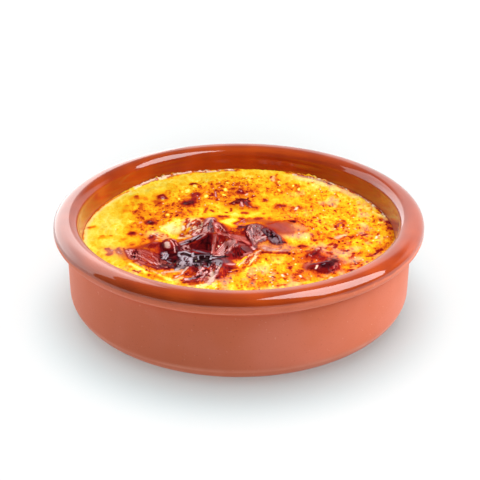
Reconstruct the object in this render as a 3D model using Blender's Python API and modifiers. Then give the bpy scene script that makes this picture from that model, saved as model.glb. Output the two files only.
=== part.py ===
"""A crema catalana in its terracotta cazuela: a thrown dish with a rolled rim, and the set custard in it,
whose sugar crust is burnt up into crags a little left of the middle.

Everything below is in millimetres until the meshes are made. The origin is the centre of the dish's base,
+Z is up, and the crags face -Y.
"""

import math
from dataclasses import dataclass

import bpy
import numpy as np

MM = 0.001
SHARP = 40.0  # degrees between faces, over which their edge stays crisp
WELD = 0.0001  # in metres
STEPS = 92  # sides of both turned shapes, so that their facets run parallel across the gap
GAP = 0.3  # between the custard and the dish

# The dish
HEIGHT = 35.0
RIM_RADIUS = 65.0
BEAD_HALF_WIDTH = 4.4
BEAD_HALF_HEIGHT = 3.35
BEAD_SQUARENESS = 2.3  # exponent of the bead's section: 2 is an ellipse
BEAD_ARC_POINTS = 13
WALL_RADIUS = 60.7
BASE_RADIUS = 49.0
BASE_CURVE_HEIGHT = 8.0
BASE_CURVE_POINTS = 6
FLOOR = 5.0
INNER_FOOT_RADIUS = 53.6  # of the inner wall where it leaves the floor's curve
INNER_CURVE = 8.0
INNER_CURVE_POINTS = 4

# The custard
LEVEL = 25.8
LEVEL_RADIUS = 55.15  # of the inner wall at the custard's surface
RINGS = 33
RING_CROWDING = 1.25  # over 1 draws the rings together about the crags
CRAG_CENTRE = (-3.0, -11.5)  # where the rings are centred before they drift out to the dish's middle
EDGE_CALM = 5.0  # width of the ring next to the dish in which the relief dies away
MENISCUS = 0.4
SWELL_HEIGHT = 0.8  # the broad rise that the crags stand on
SWELL_REACH = (28.0, 19.0)
RIPPLE_HEIGHT = 0.22
RIPPLE_LENGTHS = (7.0, 16.0)
RIPPLE_SEED = 9
WAVER = 0.35  # how far the crags' lines stray from straight
WAVER_LENGTHS = (5.0, 12.0)
WAVER_SEEDS = (21, 32)
WAVES = 14  # in each uneven field

GLAZE_COLOUR = (0.50, 0.098, 0.016, 1.0)
CUSTARD_COLOUR = (0.93, 0.50, 0.045, 1.0)


@dataclass(frozen=True)
class Crest:
    """A ridge of crust. Its line holds x, y and the height above the custard, and the crust falls away over
    the distance left of the line as it is walked, and over the distance right of it. A bow of 1 gives
    straight flanks, more hollows them and less rounds them."""

    line: tuple
    left: float
    right: float
    bow: float = 1.0


@dataclass(frozen=True)
class Blister:
    """A rounded bubble of crust: centre, height, half lengths along and across, and its turn in degrees.
    A bow well under 1 gives it a flat top and steep sides. A negative height is a hollow."""

    x: float
    y: float
    height: float
    along: float
    across: float
    turn: float = 0.0
    bow: float = 0.8


CRESTS = (
    # The main peak: its back shoulder, its spine, its brow over the hollow front, and its arm on the right
    Crest(((-9.3, -2.7, 7.2), (-12.8, -1.4, 5.2), (-16.5, 1.3, 3.1), (-21.5, 7.3, 0.8)), 9.5, 4.5, 0.9),
    Crest(((-9.3, -2.7, 7.2), (-8.6, -8.0, 6.3), (-8.2, -12.0, 5.6)), 7.5, 6.0),
    Crest(((-21.0, -11.5, 2.4), (-16.1, -12.7, 3.8), (-10.8, -11.9, 5.4), (-8.0, -12.0, 5.6)), 8.5, 4.6, 1.1),
    Crest(((-8.0, -12.0, 5.6), (-3.5, -13.5, 4.9)), 5.0, 4.6, 1.1),
    Crest(((-8.1, -7.4, 6.4), (-2.8, -10.9, 4.6), (1.4, -12.8, 3.2), (4.2, -15.6, 1.7)), 5.5, 4.5, 1.1),
    # The block of crust right of the hollow, and the fold that runs from it to the right
    Crest(((-2.8, -11.9, 4.9), (-1.4, -16.4, 4.7), (-4.6, -20.9, 2.2)), 2.6, 2.8, 0.6),
    Crest(((-1.0, -15.1, 4.4), (2.2, -15.1, 2.8), (4.6, -16.1, 1.8)), 3.0, 3.6),
    # The thin rib that parts the hollow
    Crest(((-7.9, -12.2, 5.4), (-8.4, -14.8, 3.4), (-8.5, -18.8, 2.0)), 1.5, 1.5),
    # The wing of crust on the left
    Crest(((-38.6, -15.1, 1.2), (-35.4, -16.4, 1.9), (-32.3, -15.8, 2.4), (-29.3, -13.1, 3.2),
           (-25.2, -11.3, 3.4)), 4.0, 11.0),
    # The tongues that run down from the web of ash in front of the peak
    Crest(((-6.6, -22.9, 2.9), (-5.9, -27.5, 2.7), (-6.2, -32.0, 2.2), (-7.6, -35.9, 1.5),
           (-9.6, -37.5, 0.8)), 2.4, 2.8, 0.7),
    Crest(((-15.4, -26.5, 2.0), (-18.0, -31.5, 1.2), (-20.3, -35.0, 0.6)), 1.8, 1.8, 0.8),
    Crest(((-11.8, -26.1, 2.2), (-12.9, -31.5, 1.7), (-14.9, -36.5, 0.8)), 1.8, 1.8, 0.8),
    Crest(((-18.2, -38.1, 0.8), (-13.5, -37.6, 1.1), (-11.0, -38.1, 0.8)), 1.7, 1.7, 0.8),
    # The rounded hump right of the peak with its burnt tail, and the long smooth mound behind it
    Crest(((2.6, -3.5, 3.4), (4.4, -3.1, 4.4), (6.8, -3.8, 5.1), (9.8, -6.2, 5.2), (11.6, -8.3, 4.6)),
          3.4, 7.5, 0.6),
    Crest(((9.8, -6.2, 5.1), (12.7, -9.5, 4.4), (14.6, -12.1, 3.0)), 3.0, 3.4, 0.6),
    Crest(((9.5, -0.1, 2.4), (11.8, 1.7, 2.8), (15.1, 3.2, 3.0), (18.2, 4.1, 2.8), (21.9, 3.1, 2.1),
           (24.4, 0.9, 1.2)), 2.6, 13.0, 1.1),
    # The fold of skin in front of them
    Crest(((6.0, -14.9, 2.0), (11.5, -15.7, 1.8), (16.1, -15.1, 1.5), (19.6, -14.5, 0.9)), 4.0, 2.4, 0.8),
    # The small peak at the back
    Crest(((-4.4, 23.9, 0.5), (-1.6, 23.0, 1.5), (0.9, 21.9, 2.5), (3.2, 21.0, 1.5), (7.4, 19.5, 0.4)),
          4.4, 3.6),
    # The three-cornered blister on the right
    Crest(((22.0, -18.7, 0.5), (26.3, -16.4, 2.1), (29.4, -20.7, 0.5)), 2.6, 3.6),
)

BLISTERS = (
    # The web of ash, before its holes
    Blister(-15.4, -22.1, 2.3, 11.6, 6.0, 4.0, 0.35),
    Blister(-21.8, -22.5, 1.9, 5.4, 5.2, 0.0, 0.4),
    # The glossy bubble on the wing, and the boat-shaped one on the right
    Blister(-23.5, -14.7, 4.0, 4.0, 3.6, 0.0, 0.6),
    Blister(28.4, -27.5, 2.4, 5.8, 4.0, 16.0, 0.6),
    # The larger spots of burnt sugar
    Blister(-18.2, 23.5, 0.6, 2.6, 2.2),
    Blister(-31.8, 7.9, 0.7, 2.3, 2.2),
    Blister(37.0, 5.7, 0.6, 3.4, 1.8, 70.0),
)

HOLLOWS = (
    Blister(-22.1, -20.5, -2.3, 3.4, 2.5, -4.0),
    Blister(-12.6, -22.5, -2.0, 4.2, 2.2, 4.0),
    Blister(-17.2, -18.1, -1.6, 2.6, 1.4, -15.0),
    Blister(-12.8, -15.7, -1.5, 3.6, 2.2, 8.0),
    Blister(-5.6, -16.4, -1.4, 1.9, 2.2),
    Blister(-0.9, -19.5, -0.9, 2.8, 1.8, 15.0),
)


def clear_scene():
    for obj in list(bpy.data.objects):
        bpy.data.objects.remove(obj, do_unlink=True)


def arc(centre, half_width, half_height, start, end, count, squareness=2.0):
    """Points (r, z) along a superellipse from one angle to the other, in degrees from +r."""
    points = []
    for i in range(count):
        angle = math.radians(start + (end - start) * i / (count - 1))
        across = math.copysign(abs(math.cos(angle)) ** (2 / squareness), math.cos(angle))
        up = math.copysign(abs(math.sin(angle)) ** (2 / squareness), math.sin(angle))
        points.append((centre[0] + half_width * across, centre[1] + half_height * up))
    return points


def inner_curve(gap):
    """Points from the floor's edge up round to the foot of the inner wall, held off the dish by the gap."""
    radius = INNER_CURVE - gap
    centre = (INNER_FOOT_RADIUS - INNER_CURVE, FLOOR + INNER_CURVE)
    return arc(centre, radius, radius, -90, 0, INNER_CURVE_POINTS)


def dish_profile():
    """From the middle of the floor out, up the inner wall, over the bead and down the outside to the base."""
    bead_centre = (RIM_RADIUS - BEAD_HALF_WIDTH, HEIGHT - BEAD_HALF_HEIGHT)
    bead = arc(bead_centre, BEAD_HALF_WIDTH, BEAD_HALF_HEIGHT, 180, -88, BEAD_ARC_POINTS, BEAD_SQUARENESS)
    width = WALL_RADIUS - BASE_RADIUS
    base = arc((BASE_RADIUS, BASE_CURVE_HEIGHT), width, BASE_CURVE_HEIGHT, 0, -90, BASE_CURVE_POINTS)
    return [(0.0, FLOOR), *inner_curve(0.0), (LEVEL_RADIUS, LEVEL), *bead, *base, (0.0, 0.0)]


def turned(name, profile):
    """A closed solid turned about Z from a profile of (r, z) points, as its evaluated mesh."""
    mesh = bpy.data.meshes.new(name)
    points = [(r * MM, 0.0, z * MM) for r, z in profile]
    mesh.from_pydata(points, [(i, i + 1) for i in range(len(points) - 1)], [])
    blank = bpy.data.objects.new(name, mesh)
    bpy.context.scene.collection.objects.link(blank)
    screw = blank.modifiers.new("Turn", "SCREW")
    screw.steps = STEPS
    screw.render_steps = STEPS
    screw.use_merge_vertices = True
    screw.merge_threshold = WELD
    solid = bpy.data.meshes.new_from_object(blank.evaluated_get(bpy.context.evaluated_depsgraph_get()))
    bpy.data.objects.remove(blank, do_unlink=True)
    bpy.data.meshes.remove(mesh)
    return solid


def crest_height(x, y, crest):
    """The crest's height at each point: the most that any stretch of its line gives there."""
    height = np.zeros_like(x)
    for (ax, ay, ah), (bx, by, bh) in zip(crest.line, crest.line[1:]):
        length = math.hypot(bx - ax, by - ay)
        ux, uy = (bx - ax) / length, (by - ay) / length
        share = np.clip(((x - ax) * ux + (y - ay) * uy) / length, 0.0, 1.0)
        away_x = x - (ax + share * (bx - ax))
        away_y = y - (ay + share * (by - ay))
        reach = np.where(ux * away_y - uy * away_x > 0, crest.left, crest.right)
        fall = np.clip(1.0 - np.hypot(away_x, away_y) / reach, 0.0, 1.0)
        height = np.maximum(height, (ah + share * (bh - ah)) * fall**crest.bow)
    return height


def blister_height(x, y, blister):
    """A bubble's height at each point: a smooth cap over its oval."""
    turn = math.radians(blister.turn)
    along = (x - blister.x) * math.cos(turn) + (y - blister.y) * math.sin(turn)
    across = (y - blister.y) * math.cos(turn) - (x - blister.x) * math.sin(turn)
    inside = np.clip(1.0 - (along / blister.along) ** 2 - (across / blister.across) ** 2, 0.0, 1.0)
    return blister.height * inside**blister.bow


def waves(x, y, lengths, seed):
    """An even scatter of hills and dips about nought and mostly within 1, from waves that run every way."""
    draw = np.random.default_rng(seed)
    total = np.zeros_like(x)
    for _ in range(WAVES):
        heading, phase = draw.uniform(0, math.tau, 2)
        pace = math.tau / draw.uniform(*lengths)
        total += np.sin(pace * (x * math.cos(heading) + y * math.sin(heading)) + phase)
    return total / math.sqrt(WAVES / 2)


def crag_height(x, y):
    """The height of the crests, bubbles and hollows, whose lines waver a little."""
    x, y = (place + WAVER * waves(x, y, WAVER_LENGTHS, seed) for place, seed in zip((x, y), WAVER_SEEDS))
    swell = SWELL_HEIGHT * np.exp(
        -(((x - CRAG_CENTRE[0]) / SWELL_REACH[0]) ** 2) - ((y - CRAG_CENTRE[1]) / SWELL_REACH[1]) ** 2
    )
    height = swell
    for crest in CRESTS:
        height = np.maximum(height, crest_height(x, y, crest))
    for blister in BLISTERS:
        height = np.maximum(height, blister_height(x, y, blister))
    for hollow in HOLLOWS:
        height = height + blister_height(x, y, hollow)
    return height


def crust_height(x, y):
    """The crust's height above the custard's level: crags and ripples, dying away to the dish's side."""
    inward = np.clip((LEVEL_RADIUS - GAP - np.hypot(x, y)) / EDGE_CALM, 0.0, 1.0)
    calm = inward * inward * (3.0 - 2.0 * inward)
    ripples = RIPPLE_HEIGHT * waves(x, y, RIPPLE_LENGTHS, RIPPLE_SEED)
    return calm * (crag_height(x, y) + ripples) + (1.0 - calm) * MENISCUS


def custard_profile():
    """From the middle of the surface out to the dish, down the side and back under to the middle."""
    edge = LEVEL_RADIUS - GAP
    rings = [(edge * (i / RINGS) ** RING_CROWDING, LEVEL) for i in range(RINGS + 1)]
    return [*rings, *reversed(inner_curve(GAP)), (0.0, FLOOR + GAP)]


def raise_crust(mesh):
    """Draws the surface's rings towards the crags and lifts every point on it to the crust."""
    places = np.empty(len(mesh.vertices) * 3)
    mesh.vertices.foreach_get("co", places)
    places = places.reshape(-1, 3) / MM
    edge = LEVEL_RADIUS - GAP
    surface = places[:, 2] > LEVEL - GAP
    outward = np.hypot(places[surface, 0], places[surface, 1]) / edge
    x = places[surface, 0] + CRAG_CENTRE[0] * (1.0 - outward**2)
    y = places[surface, 1] + CRAG_CENTRE[1] * (1.0 - outward**2)
    places[surface] = np.column_stack((x, y, LEVEL + crust_height(x, y)))
    mesh.vertices.foreach_set("co", (places * MM).ravel())
    mesh.update()


def surface_material(name, colour, roughness, coat):
    material = bpy.data.materials.new(name)
    material.use_nodes = True
    shader = material.node_tree.nodes["Principled BSDF"]
    shader.inputs["Base Color"].default_value = colour
    shader.inputs["Roughness"].default_value = roughness
    shader.inputs["Metallic"].default_value = 0.0
    shader.inputs["Coat Weight"].default_value = coat
    material.diffuse_color = colour
    return material


def add_part(collection, name, mesh, material):
    """Links a finished mesh as one of the object's pieces, with smooth rounds and crisp breaks."""
    mesh.name = name
    mesh.materials.clear()
    mesh.materials.append(material)
    mesh.shade_smooth()
    mesh.set_sharp_from_angle(angle=math.radians(SHARP))
    part = bpy.data.objects.new(name, mesh)
    collection.objects.link(part)
    return part


def main():
    clear_scene()
    collection = bpy.data.collections.new("crema_catalana")
    bpy.context.scene.collection.children.link(collection)

    cazuela = turned("cazuela", dish_profile())
    add_part(collection, "cazuela", cazuela, surface_material("glazed terracotta", GLAZE_COLOUR, 0.4, 0.5))

    custard = turned("custard", custard_profile())
    raise_crust(custard)
    add_part(collection, "custard", custard, surface_material("burnt custard", CUSTARD_COLOUR, 0.45, 0.3))


main()
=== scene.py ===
"""A crema catalana in its terracotta cazuela, dressed for its picture.

The dish is thrown in red clay, glazed inside and over its rolled rim and bare outside and below. The custard
in it is set to 9 mm under the rim, under a skin of burnt sugar that is blistered, speckled and, a little left
of the middle, drawn up into dark crags with a web of grey ash at their foot.

Lengths are in millimetres until a mesh is made. The origin is the centre of the dish's base, +Z is up, and
the crags face -Y.
"""

import logging
import math
from collections.abc import Callable, Sequence
from dataclasses import dataclass
from enum import Enum
from functools import partial

import bpy
import numpy as np
from mathutils import Matrix, Vector


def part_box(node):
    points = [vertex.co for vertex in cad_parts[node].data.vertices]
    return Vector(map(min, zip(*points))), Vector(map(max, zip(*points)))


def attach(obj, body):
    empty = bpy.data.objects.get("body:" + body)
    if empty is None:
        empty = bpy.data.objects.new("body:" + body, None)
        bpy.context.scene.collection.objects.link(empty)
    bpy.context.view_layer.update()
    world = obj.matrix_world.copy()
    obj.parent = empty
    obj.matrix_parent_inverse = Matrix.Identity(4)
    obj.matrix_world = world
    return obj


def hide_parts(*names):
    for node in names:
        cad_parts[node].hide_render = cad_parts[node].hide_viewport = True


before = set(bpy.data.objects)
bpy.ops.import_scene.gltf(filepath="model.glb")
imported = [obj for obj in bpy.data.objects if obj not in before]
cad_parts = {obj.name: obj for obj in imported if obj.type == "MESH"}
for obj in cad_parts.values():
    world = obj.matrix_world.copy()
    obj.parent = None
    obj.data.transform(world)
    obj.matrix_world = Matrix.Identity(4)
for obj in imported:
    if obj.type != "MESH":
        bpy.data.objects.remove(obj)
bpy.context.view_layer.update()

MM = 0.001
ROOT = "root"
LEVEL = 25.8  # the custard's surface above the table
EDGE = 55.27  # the custard's radius, just into the dish's wall so that no gap shows
MARK_LEVEL = 27.0  # the height at which a mark's place is its true place
MARK_LEAN = 2.0  # how far a mark's place moves back for each millimetre that the crust stands up
THREAD_PLACES = 4  # on each fine line
THREAD_WAVER = 0.14  # how far they stray from it
RIM_STEP = 3  # degrees between two places of a line along the custard's edge

Array = np.ndarray
Place = tuple[float, float]
Line = tuple[float, ...]
Point = tuple[float, float, float]
Rgb = tuple[float, float, float]

log = logging.getLogger("crema_catalana")


# ---------------------------------------------------------------------------------------------------------
# Numbers and uneven fields
# ---------------------------------------------------------------------------------------------------------


def linear(red: int, green: int, blue: int) -> Rgb:
    """Turns a colour as a screen shows it into the light that a shader works in.

    Args:
        red: The red of the colour, from 0 to 255.
        green: Its green.
        blue: Its blue.

    Returns:
        The three values from 0 to 1, each undone from the screen's curve.
    """
    shown = (channel / 255 for channel in (red, green, blue))
    return tuple(s / 12.92 if s <= 0.04045 else ((s + 0.055) / 1.055) ** 2.4 for s in shown)


def smoothstep(low: float, high: float, value: Array) -> Array:
    """Rises from 0 at low to 1 at high, level at both ends: 3s^2 - 2s^3 of the share s of the way.

    Args:
        low: Where the rise starts. It may be above high, and the step then falls.
        high: Where the rise ends.
        value: The places where it is read.

    Returns:
        The step at each place.
    """
    share = np.clip((value - low) / (high - low), 0.0, 1.0)
    return share * share * (3.0 - 2.0 * share)


def hashed(column: Array, row: Array, seed: int) -> Array:
    """Gives each pair of whole numbers its own number from 0 to 1, by multiplying and folding their bits.

    Args:
        column: The first whole number of each pair.
        row: The second.
        seed: Another seed gives another pattern.

    Returns:
        One number for each pair.
    """
    mask = 0xFFFFFFFF
    mixed = (column.astype(np.int64) * 374761393 + row.astype(np.int64) * 668265263 + seed * 144269) & mask
    mixed = ((mixed ^ (mixed >> 13)) * 1274126177) & mask
    mixed = ((mixed ^ (mixed >> 16)) * 2246822519) & mask
    return (mixed ^ (mixed >> 15)) / mask


def noise(x: Array, y: Array, size: float, seed: int) -> Array:
    """Smooth hills and dips: a hashed value at each corner of a square net, blended across each square.

    Args:
        x: The places' first coordinate.
        y: Their second coordinate.
        size: The side of the net's squares.
        seed: Which pattern.

    Returns:
        Values from -1 to 1.
    """
    column, row = np.floor(x / size), np.floor(y / size)
    across = smoothstep(0.0, 1.0, x / size - column)
    up = smoothstep(0.0, 1.0, y / size - row)
    low = (1 - across) * hashed(column, row, seed) + across * hashed(column + 1, row, seed)
    high = (1 - across) * hashed(column, row + 1, seed) + across * hashed(column + 1, row + 1, seed)
    return 2.0 * ((1 - up) * low + up * high) - 1.0


def rough(x: Array, y: Array, size: float, seed: int, octaves: int = 3) -> Array:
    """Noise with finer noise on it: each octave has half the size and six tenths of the height.

    Args:
        x: The places' first coordinate.
        y: Their second coordinate.
        size: The side of the largest net's squares.
        seed: Which pattern.
        octaves: How many layers.

    Returns:
        Values mostly from -1 to 1.
    """
    return sum(0.6**k * noise(x, y, size / 2**k, seed + 17 * k) for k in range(octaves)) / 1.3


def dots(x: Array, y: Array, size: float, seed: int) -> tuple[Array, Array, Array]:
    """Scatters one dot in each square of a net and measures how far off the nearest two are.

    Args:
        x: The places' first coordinate.
        y: Their second coordinate.
        size: The side of the net's squares.
        seed: Which scatter.

    Returns:
        The distance to the nearest dot, the distance to the next one, and the nearest dot's own number.
    """
    column, row = np.floor(x / size), np.floor(y / size)
    near, next_near, number = np.full_like(x, 9e9), np.full_like(x, 9e9), np.zeros_like(x)
    for step in range(9):
        c, r = column + step % 3 - 1, row + step // 3 - 1
        away = np.hypot((c + hashed(c, r, seed)) * size - x, (r + hashed(c, r, seed + 1)) * size - y)
        closer = away < near
        next_near = np.where(closer, near, np.minimum(next_near, away))
        number = np.where(closer, hashed(c, r, seed + 2), number)
        near = np.where(closer, away, near)
    return near, next_near, number


def turned(x: Array, y: Array, degrees: float) -> tuple[Array, Array]:
    """Reads places in axes that are turned by so many degrees from +X towards +Y.

    Args:
        x: The places' first coordinate.
        y: Their second coordinate.
        degrees: The turn.

    Returns:
        The distance along the turned first axis, and along the second.
    """
    c, s = math.cos(math.radians(degrees)), math.sin(math.radians(degrees))
    return x * c + y * s, y * c - x * s


# ---------------------------------------------------------------------------------------------------------
# Meshes
# ---------------------------------------------------------------------------------------------------------


def closed_lathe_faces(rings: int, sectors: int) -> tuple[Array, Array]:
    """Lists the faces of rings of points that run from one pole to the other round an axis.

    Point 0 is the first pole, then come the rings, and the last point is the second pole. A quad joins each
    stretch of a ring to the next ring, and a triangle joins the first and the last ring to their pole.

    Args:
        rings: How many rings lie between the poles.
        sectors: How many points each ring has.

    Returns:
        The quads and the triangles, as rows of point numbers that face away from the inside.
    """
    ring = np.arange(rings - 1)[:, None] * sectors
    here = np.arange(sectors)[None, :]
    following = (here + 1) % sectors
    above = ring + sectors
    quads = np.stack([ring + here, above + here, above + following, ring + following], -1) + 1
    here, following = here[0], following[0]
    last = 1 + (rings - 1) * sectors
    first_cap = np.stack([np.zeros_like(here), here + 1, following + 1], -1)
    last_cap = np.stack([here + last, np.full_like(here, last + sectors), following + last], -1)
    return quads.reshape(-1, 4), np.concatenate([first_cap, last_cap])


def add_piece(name: str, points: Array, quads: Array, triangles: Array,
              marks: dict[str, Array]) -> bpy.types.Object:
    """Makes a smooth mesh piece from arrays and links it to the scene.

    Args:
        name: The piece's name.
        points: One row of x, y, z for each point, in millimetres.
        quads: Rows of four point numbers.
        triangles: Rows of three point numbers.
        marks: Named values, one for each point, which materials read as attributes.

    Returns:
        The new object, at the origin.
    """
    mesh = bpy.data.meshes.new(name)
    corners = np.concatenate([quads.ravel(), triangles.ravel()]).astype(np.int32)
    sizes = np.concatenate([np.full(len(quads), 4), np.full(len(triangles), 3)])
    mesh.vertices.add(len(points))
    mesh.vertices.foreach_set("co", (points * MM).astype(np.float32).ravel())
    mesh.loops.add(len(corners))
    mesh.loops.foreach_set("vertex_index", corners)
    mesh.polygons.add(len(sizes))
    mesh.polygons.foreach_set("loop_start", (np.cumsum(sizes) - sizes).astype(np.int32))
    mesh.update(calc_edges=True)
    for mark, values in marks.items():
        layer = mesh.attributes.new(mark, "FLOAT", "POINT")
        layer.data.foreach_set("value", values.astype(np.float32))
    mesh.shade_smooth()
    piece = bpy.data.objects.new(name, mesh)
    bpy.context.scene.collection.objects.link(piece)
    return piece


def arc(centre: Place, half_width: float, half_height: float, start: float, end: float, count: int,
        squareness: float = 2.0) -> Array:
    """Points along an oval whose sides may be squared off: cosine and sine raised to 2 over the squareness.

    Args:
        centre: Its centre, as r and z.
        half_width: Half its width.
        half_height: Half its height.
        start: The first angle in degrees, from +r towards +z.
        end: The last angle.
        count: How many points.
        squareness: 2 is an ellipse, and more is squarer.

    Returns:
        Rows of r and z.
    """
    angle = np.radians(np.linspace(start, end, count))
    across, up = (np.sign(part) * np.abs(part) ** (2 / squareness) for part in (np.cos(angle), np.sin(angle)))
    return np.column_stack((centre[0] + half_width * across, centre[1] + half_height * up))


# ---------------------------------------------------------------------------------------------------------
# Shader building
# ---------------------------------------------------------------------------------------------------------


@dataclass
class Signal:
    """One output in a material's node tree. Sums on it add the Math nodes that work them out."""

    tree: bpy.types.NodeTree
    socket: bpy.types.NodeSocket

    def _math(self, operation: str, first: "Signal | float", second: "Signal | float") -> "Signal":
        """Adds a Math node.

        Args:
            operation: Its operation.
            first: Its first value or link.
            second: Its second value or link.

        Returns:
            The node's output.
        """
        return Nodes(self.tree).add("ShaderNodeMath", {"operation": operation}, {0: first, 1: second})

    def __add__(self, other: "Signal | float") -> "Signal":
        """The sum."""
        return self._math("ADD", self, other)

    __radd__ = __add__

    def __sub__(self, other: "Signal | float") -> "Signal":
        """The difference."""
        return self._math("SUBTRACT", self, other)

    def __rsub__(self, other: float) -> "Signal":
        """The number less this."""
        return self._math("SUBTRACT", other, self)

    def __mul__(self, other: "Signal | float") -> "Signal":
        """The product."""
        return self._math("MULTIPLY", self, other)

    __rmul__ = __mul__

    def between(self, low: float, high: float) -> "Signal":
        """How far this is from low to high: 0 to 1, held at both ends and smoothed."""
        return Nodes(self.tree).add("ShaderNodeMapRange", {"interpolation_type": "SMOOTHSTEP", "clamp": True},
                                    {0: self, 1: low, 2: high, 3: 0.0, 4: 1.0})


@dataclass
class Nodes:
    """Adds nodes to one material's tree."""

    tree: bpy.types.NodeTree

    def add(self, kind: str, settings: dict | None = None, inputs: dict | None = None,
            output: int | str = 0) -> Signal:
        """Adds one node: its settings first, then its inputs.

        Args:
            kind: The node's type.
            settings: Its own settings. "stops" holds a colour ramp's stops, as (place, colour) pairs.
            inputs: Values or links, by the sockets' names or numbers.
            output: Which output to return.

        Returns:
            That output.
        """
        node = self.tree.nodes.new(kind)
        for name, value in (settings or {}).items():
            if name == "stops":
                self._set_stops(node.color_ramp, value)
            else:
                setattr(node, name, value)
        for name, value in (inputs or {}).items():
            if isinstance(value, Signal):
                self.tree.links.new(value.socket, node.inputs[name])
            else:
                node.inputs[name].default_value = value
        return Signal(self.tree, node.outputs[output])

    @staticmethod
    def _set_stops(ramp: bpy.types.ColorRamp, stops: Sequence[tuple[float, Rgb]]) -> None:
        """Gives a ramp its stops.

        Args:
            ramp: The ramp, with Blender's two stops in it.
            stops: The place from 0 to 1 and the colour of each, in order.
        """
        while len(ramp.elements) < len(stops):
            ramp.elements.new(0.5)
        for element, (place, colour) in zip(ramp.elements, stops):
            element.position = place
            element.color = (*colour, 1.0)

    def place(self) -> Signal:
        """Where each point is, in the object's own metres."""
        return self.add("ShaderNodeTexCoord", output="Object")

    def attribute(self, name: str) -> Signal:
        """A value that the mesh carries at its points."""
        return self.add("ShaderNodeAttribute", {"attribute_name": name}, output="Fac")

    def noise(self, size: float, detail: float = 2.0, stretch: Point = (1.0, 1.0, 1.0)) -> Signal:
        """Noise of a given grain.

        Args:
            size: The grain's size in millimetres.
            detail: How many finer layers it has.
            stretch: How much finer it is along X, Y and Z.

        Returns:
            The noise, from 0 to 1 about a half.
        """
        mapped = self.add("ShaderNodeMapping", {"vector_type": "POINT"}, {
            "Vector": self.place(), "Scale": stretch})
        return self.add("ShaderNodeTexNoise", {"noise_dimensions": "3D"}, {
            "Vector": mapped, "Scale": 1.0 / (size * MM), "Detail": detail, "Roughness": 0.6})

    def cells(self, size: float, shift: float = 0.0) -> tuple[Signal, Signal]:
        """Uneven cells seen from above, a little longer front to back than they are wide.

        Args:
            size: Their width in millimetres.
            shift: How far the pattern is moved, in millimetres. Another shift gives another pattern.

        Returns:
            How far each point is from its cell's middle, in cell widths, and the cell's number from 0 to 1.
        """
        mapped = self.add("ShaderNodeMapping", {"vector_type": "POINT"}, {
            "Vector": self.place(), "Location": (shift * MM, shift * MM, 0.0), "Scale": (1.0, 0.72, 1.0)})
        distance = self.add("ShaderNodeTexVoronoi", {"voronoi_dimensions": "2D", "feature": "F1"}, {
            "Vector": mapped, "Scale": 1.0 / (size * MM)}, "Distance")
        colour = Signal(self.tree, distance.socket.node.outputs["Color"])
        return distance, self.add("ShaderNodeSeparateColor", None, {0: colour}, "Red")

    def mixed(self, share: Signal | float, first: Signal | Rgb, second: Signal | Rgb) -> Signal:
        """Blends two colours.

        Args:
            share: How much of the second, from 0 to 1.
            first: The colour underneath.
            second: The colour on top.

        Returns:
            The blended colour.
        """
        first, second = (c if isinstance(c, Signal) else (*c, 1.0) for c in (first, second))
        settings = {"data_type": "RGBA", "blend_type": "MIX", "clamp_factor": True}
        return self.add("ShaderNodeMix", settings, {0: share, 6: first, 7: second}, output=2)

    def bump(self, height: Signal, depth: float, strength: float = 1.0) -> Signal:
        """Turns a height from 0 to 1 into a bumpy normal, so many millimetres deep."""
        return self.add("ShaderNodeBump", None, {
            "Strength": strength, "Distance": depth * MM, "Height": height})


def new_material(name: str, fixed: dict[str, object]) -> tuple[bpy.types.Material, Nodes, bpy.types.Node]:
    """Starts a material on its Principled shader.

    Args:
        name: The material's name.
        fixed: What is the same all over the surface, by the shader's sockets.

    Returns:
        The material, its nodes, and the shader that the varying signals go into.
    """
    material = bpy.data.materials.new(name)
    material.use_nodes = True
    shader = material.node_tree.nodes["Principled BSDF"]
    for socket, value in fixed.items():
        shader.inputs[socket].default_value = value
    return material, Nodes(material.node_tree), shader


def wire(shader: bpy.types.Node, signals: dict[str, Signal]) -> None:
    """Links signals to the shader's sockets.

    Args:
        shader: The Principled shader.
        signals: What varies over the surface, by socket.
    """
    for socket, signal in signals.items():
        signal.tree.links.new(signal.socket, shader.inputs[socket])


# ---------------------------------------------------------------------------------------------------------
# The dish
# ---------------------------------------------------------------------------------------------------------


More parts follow.
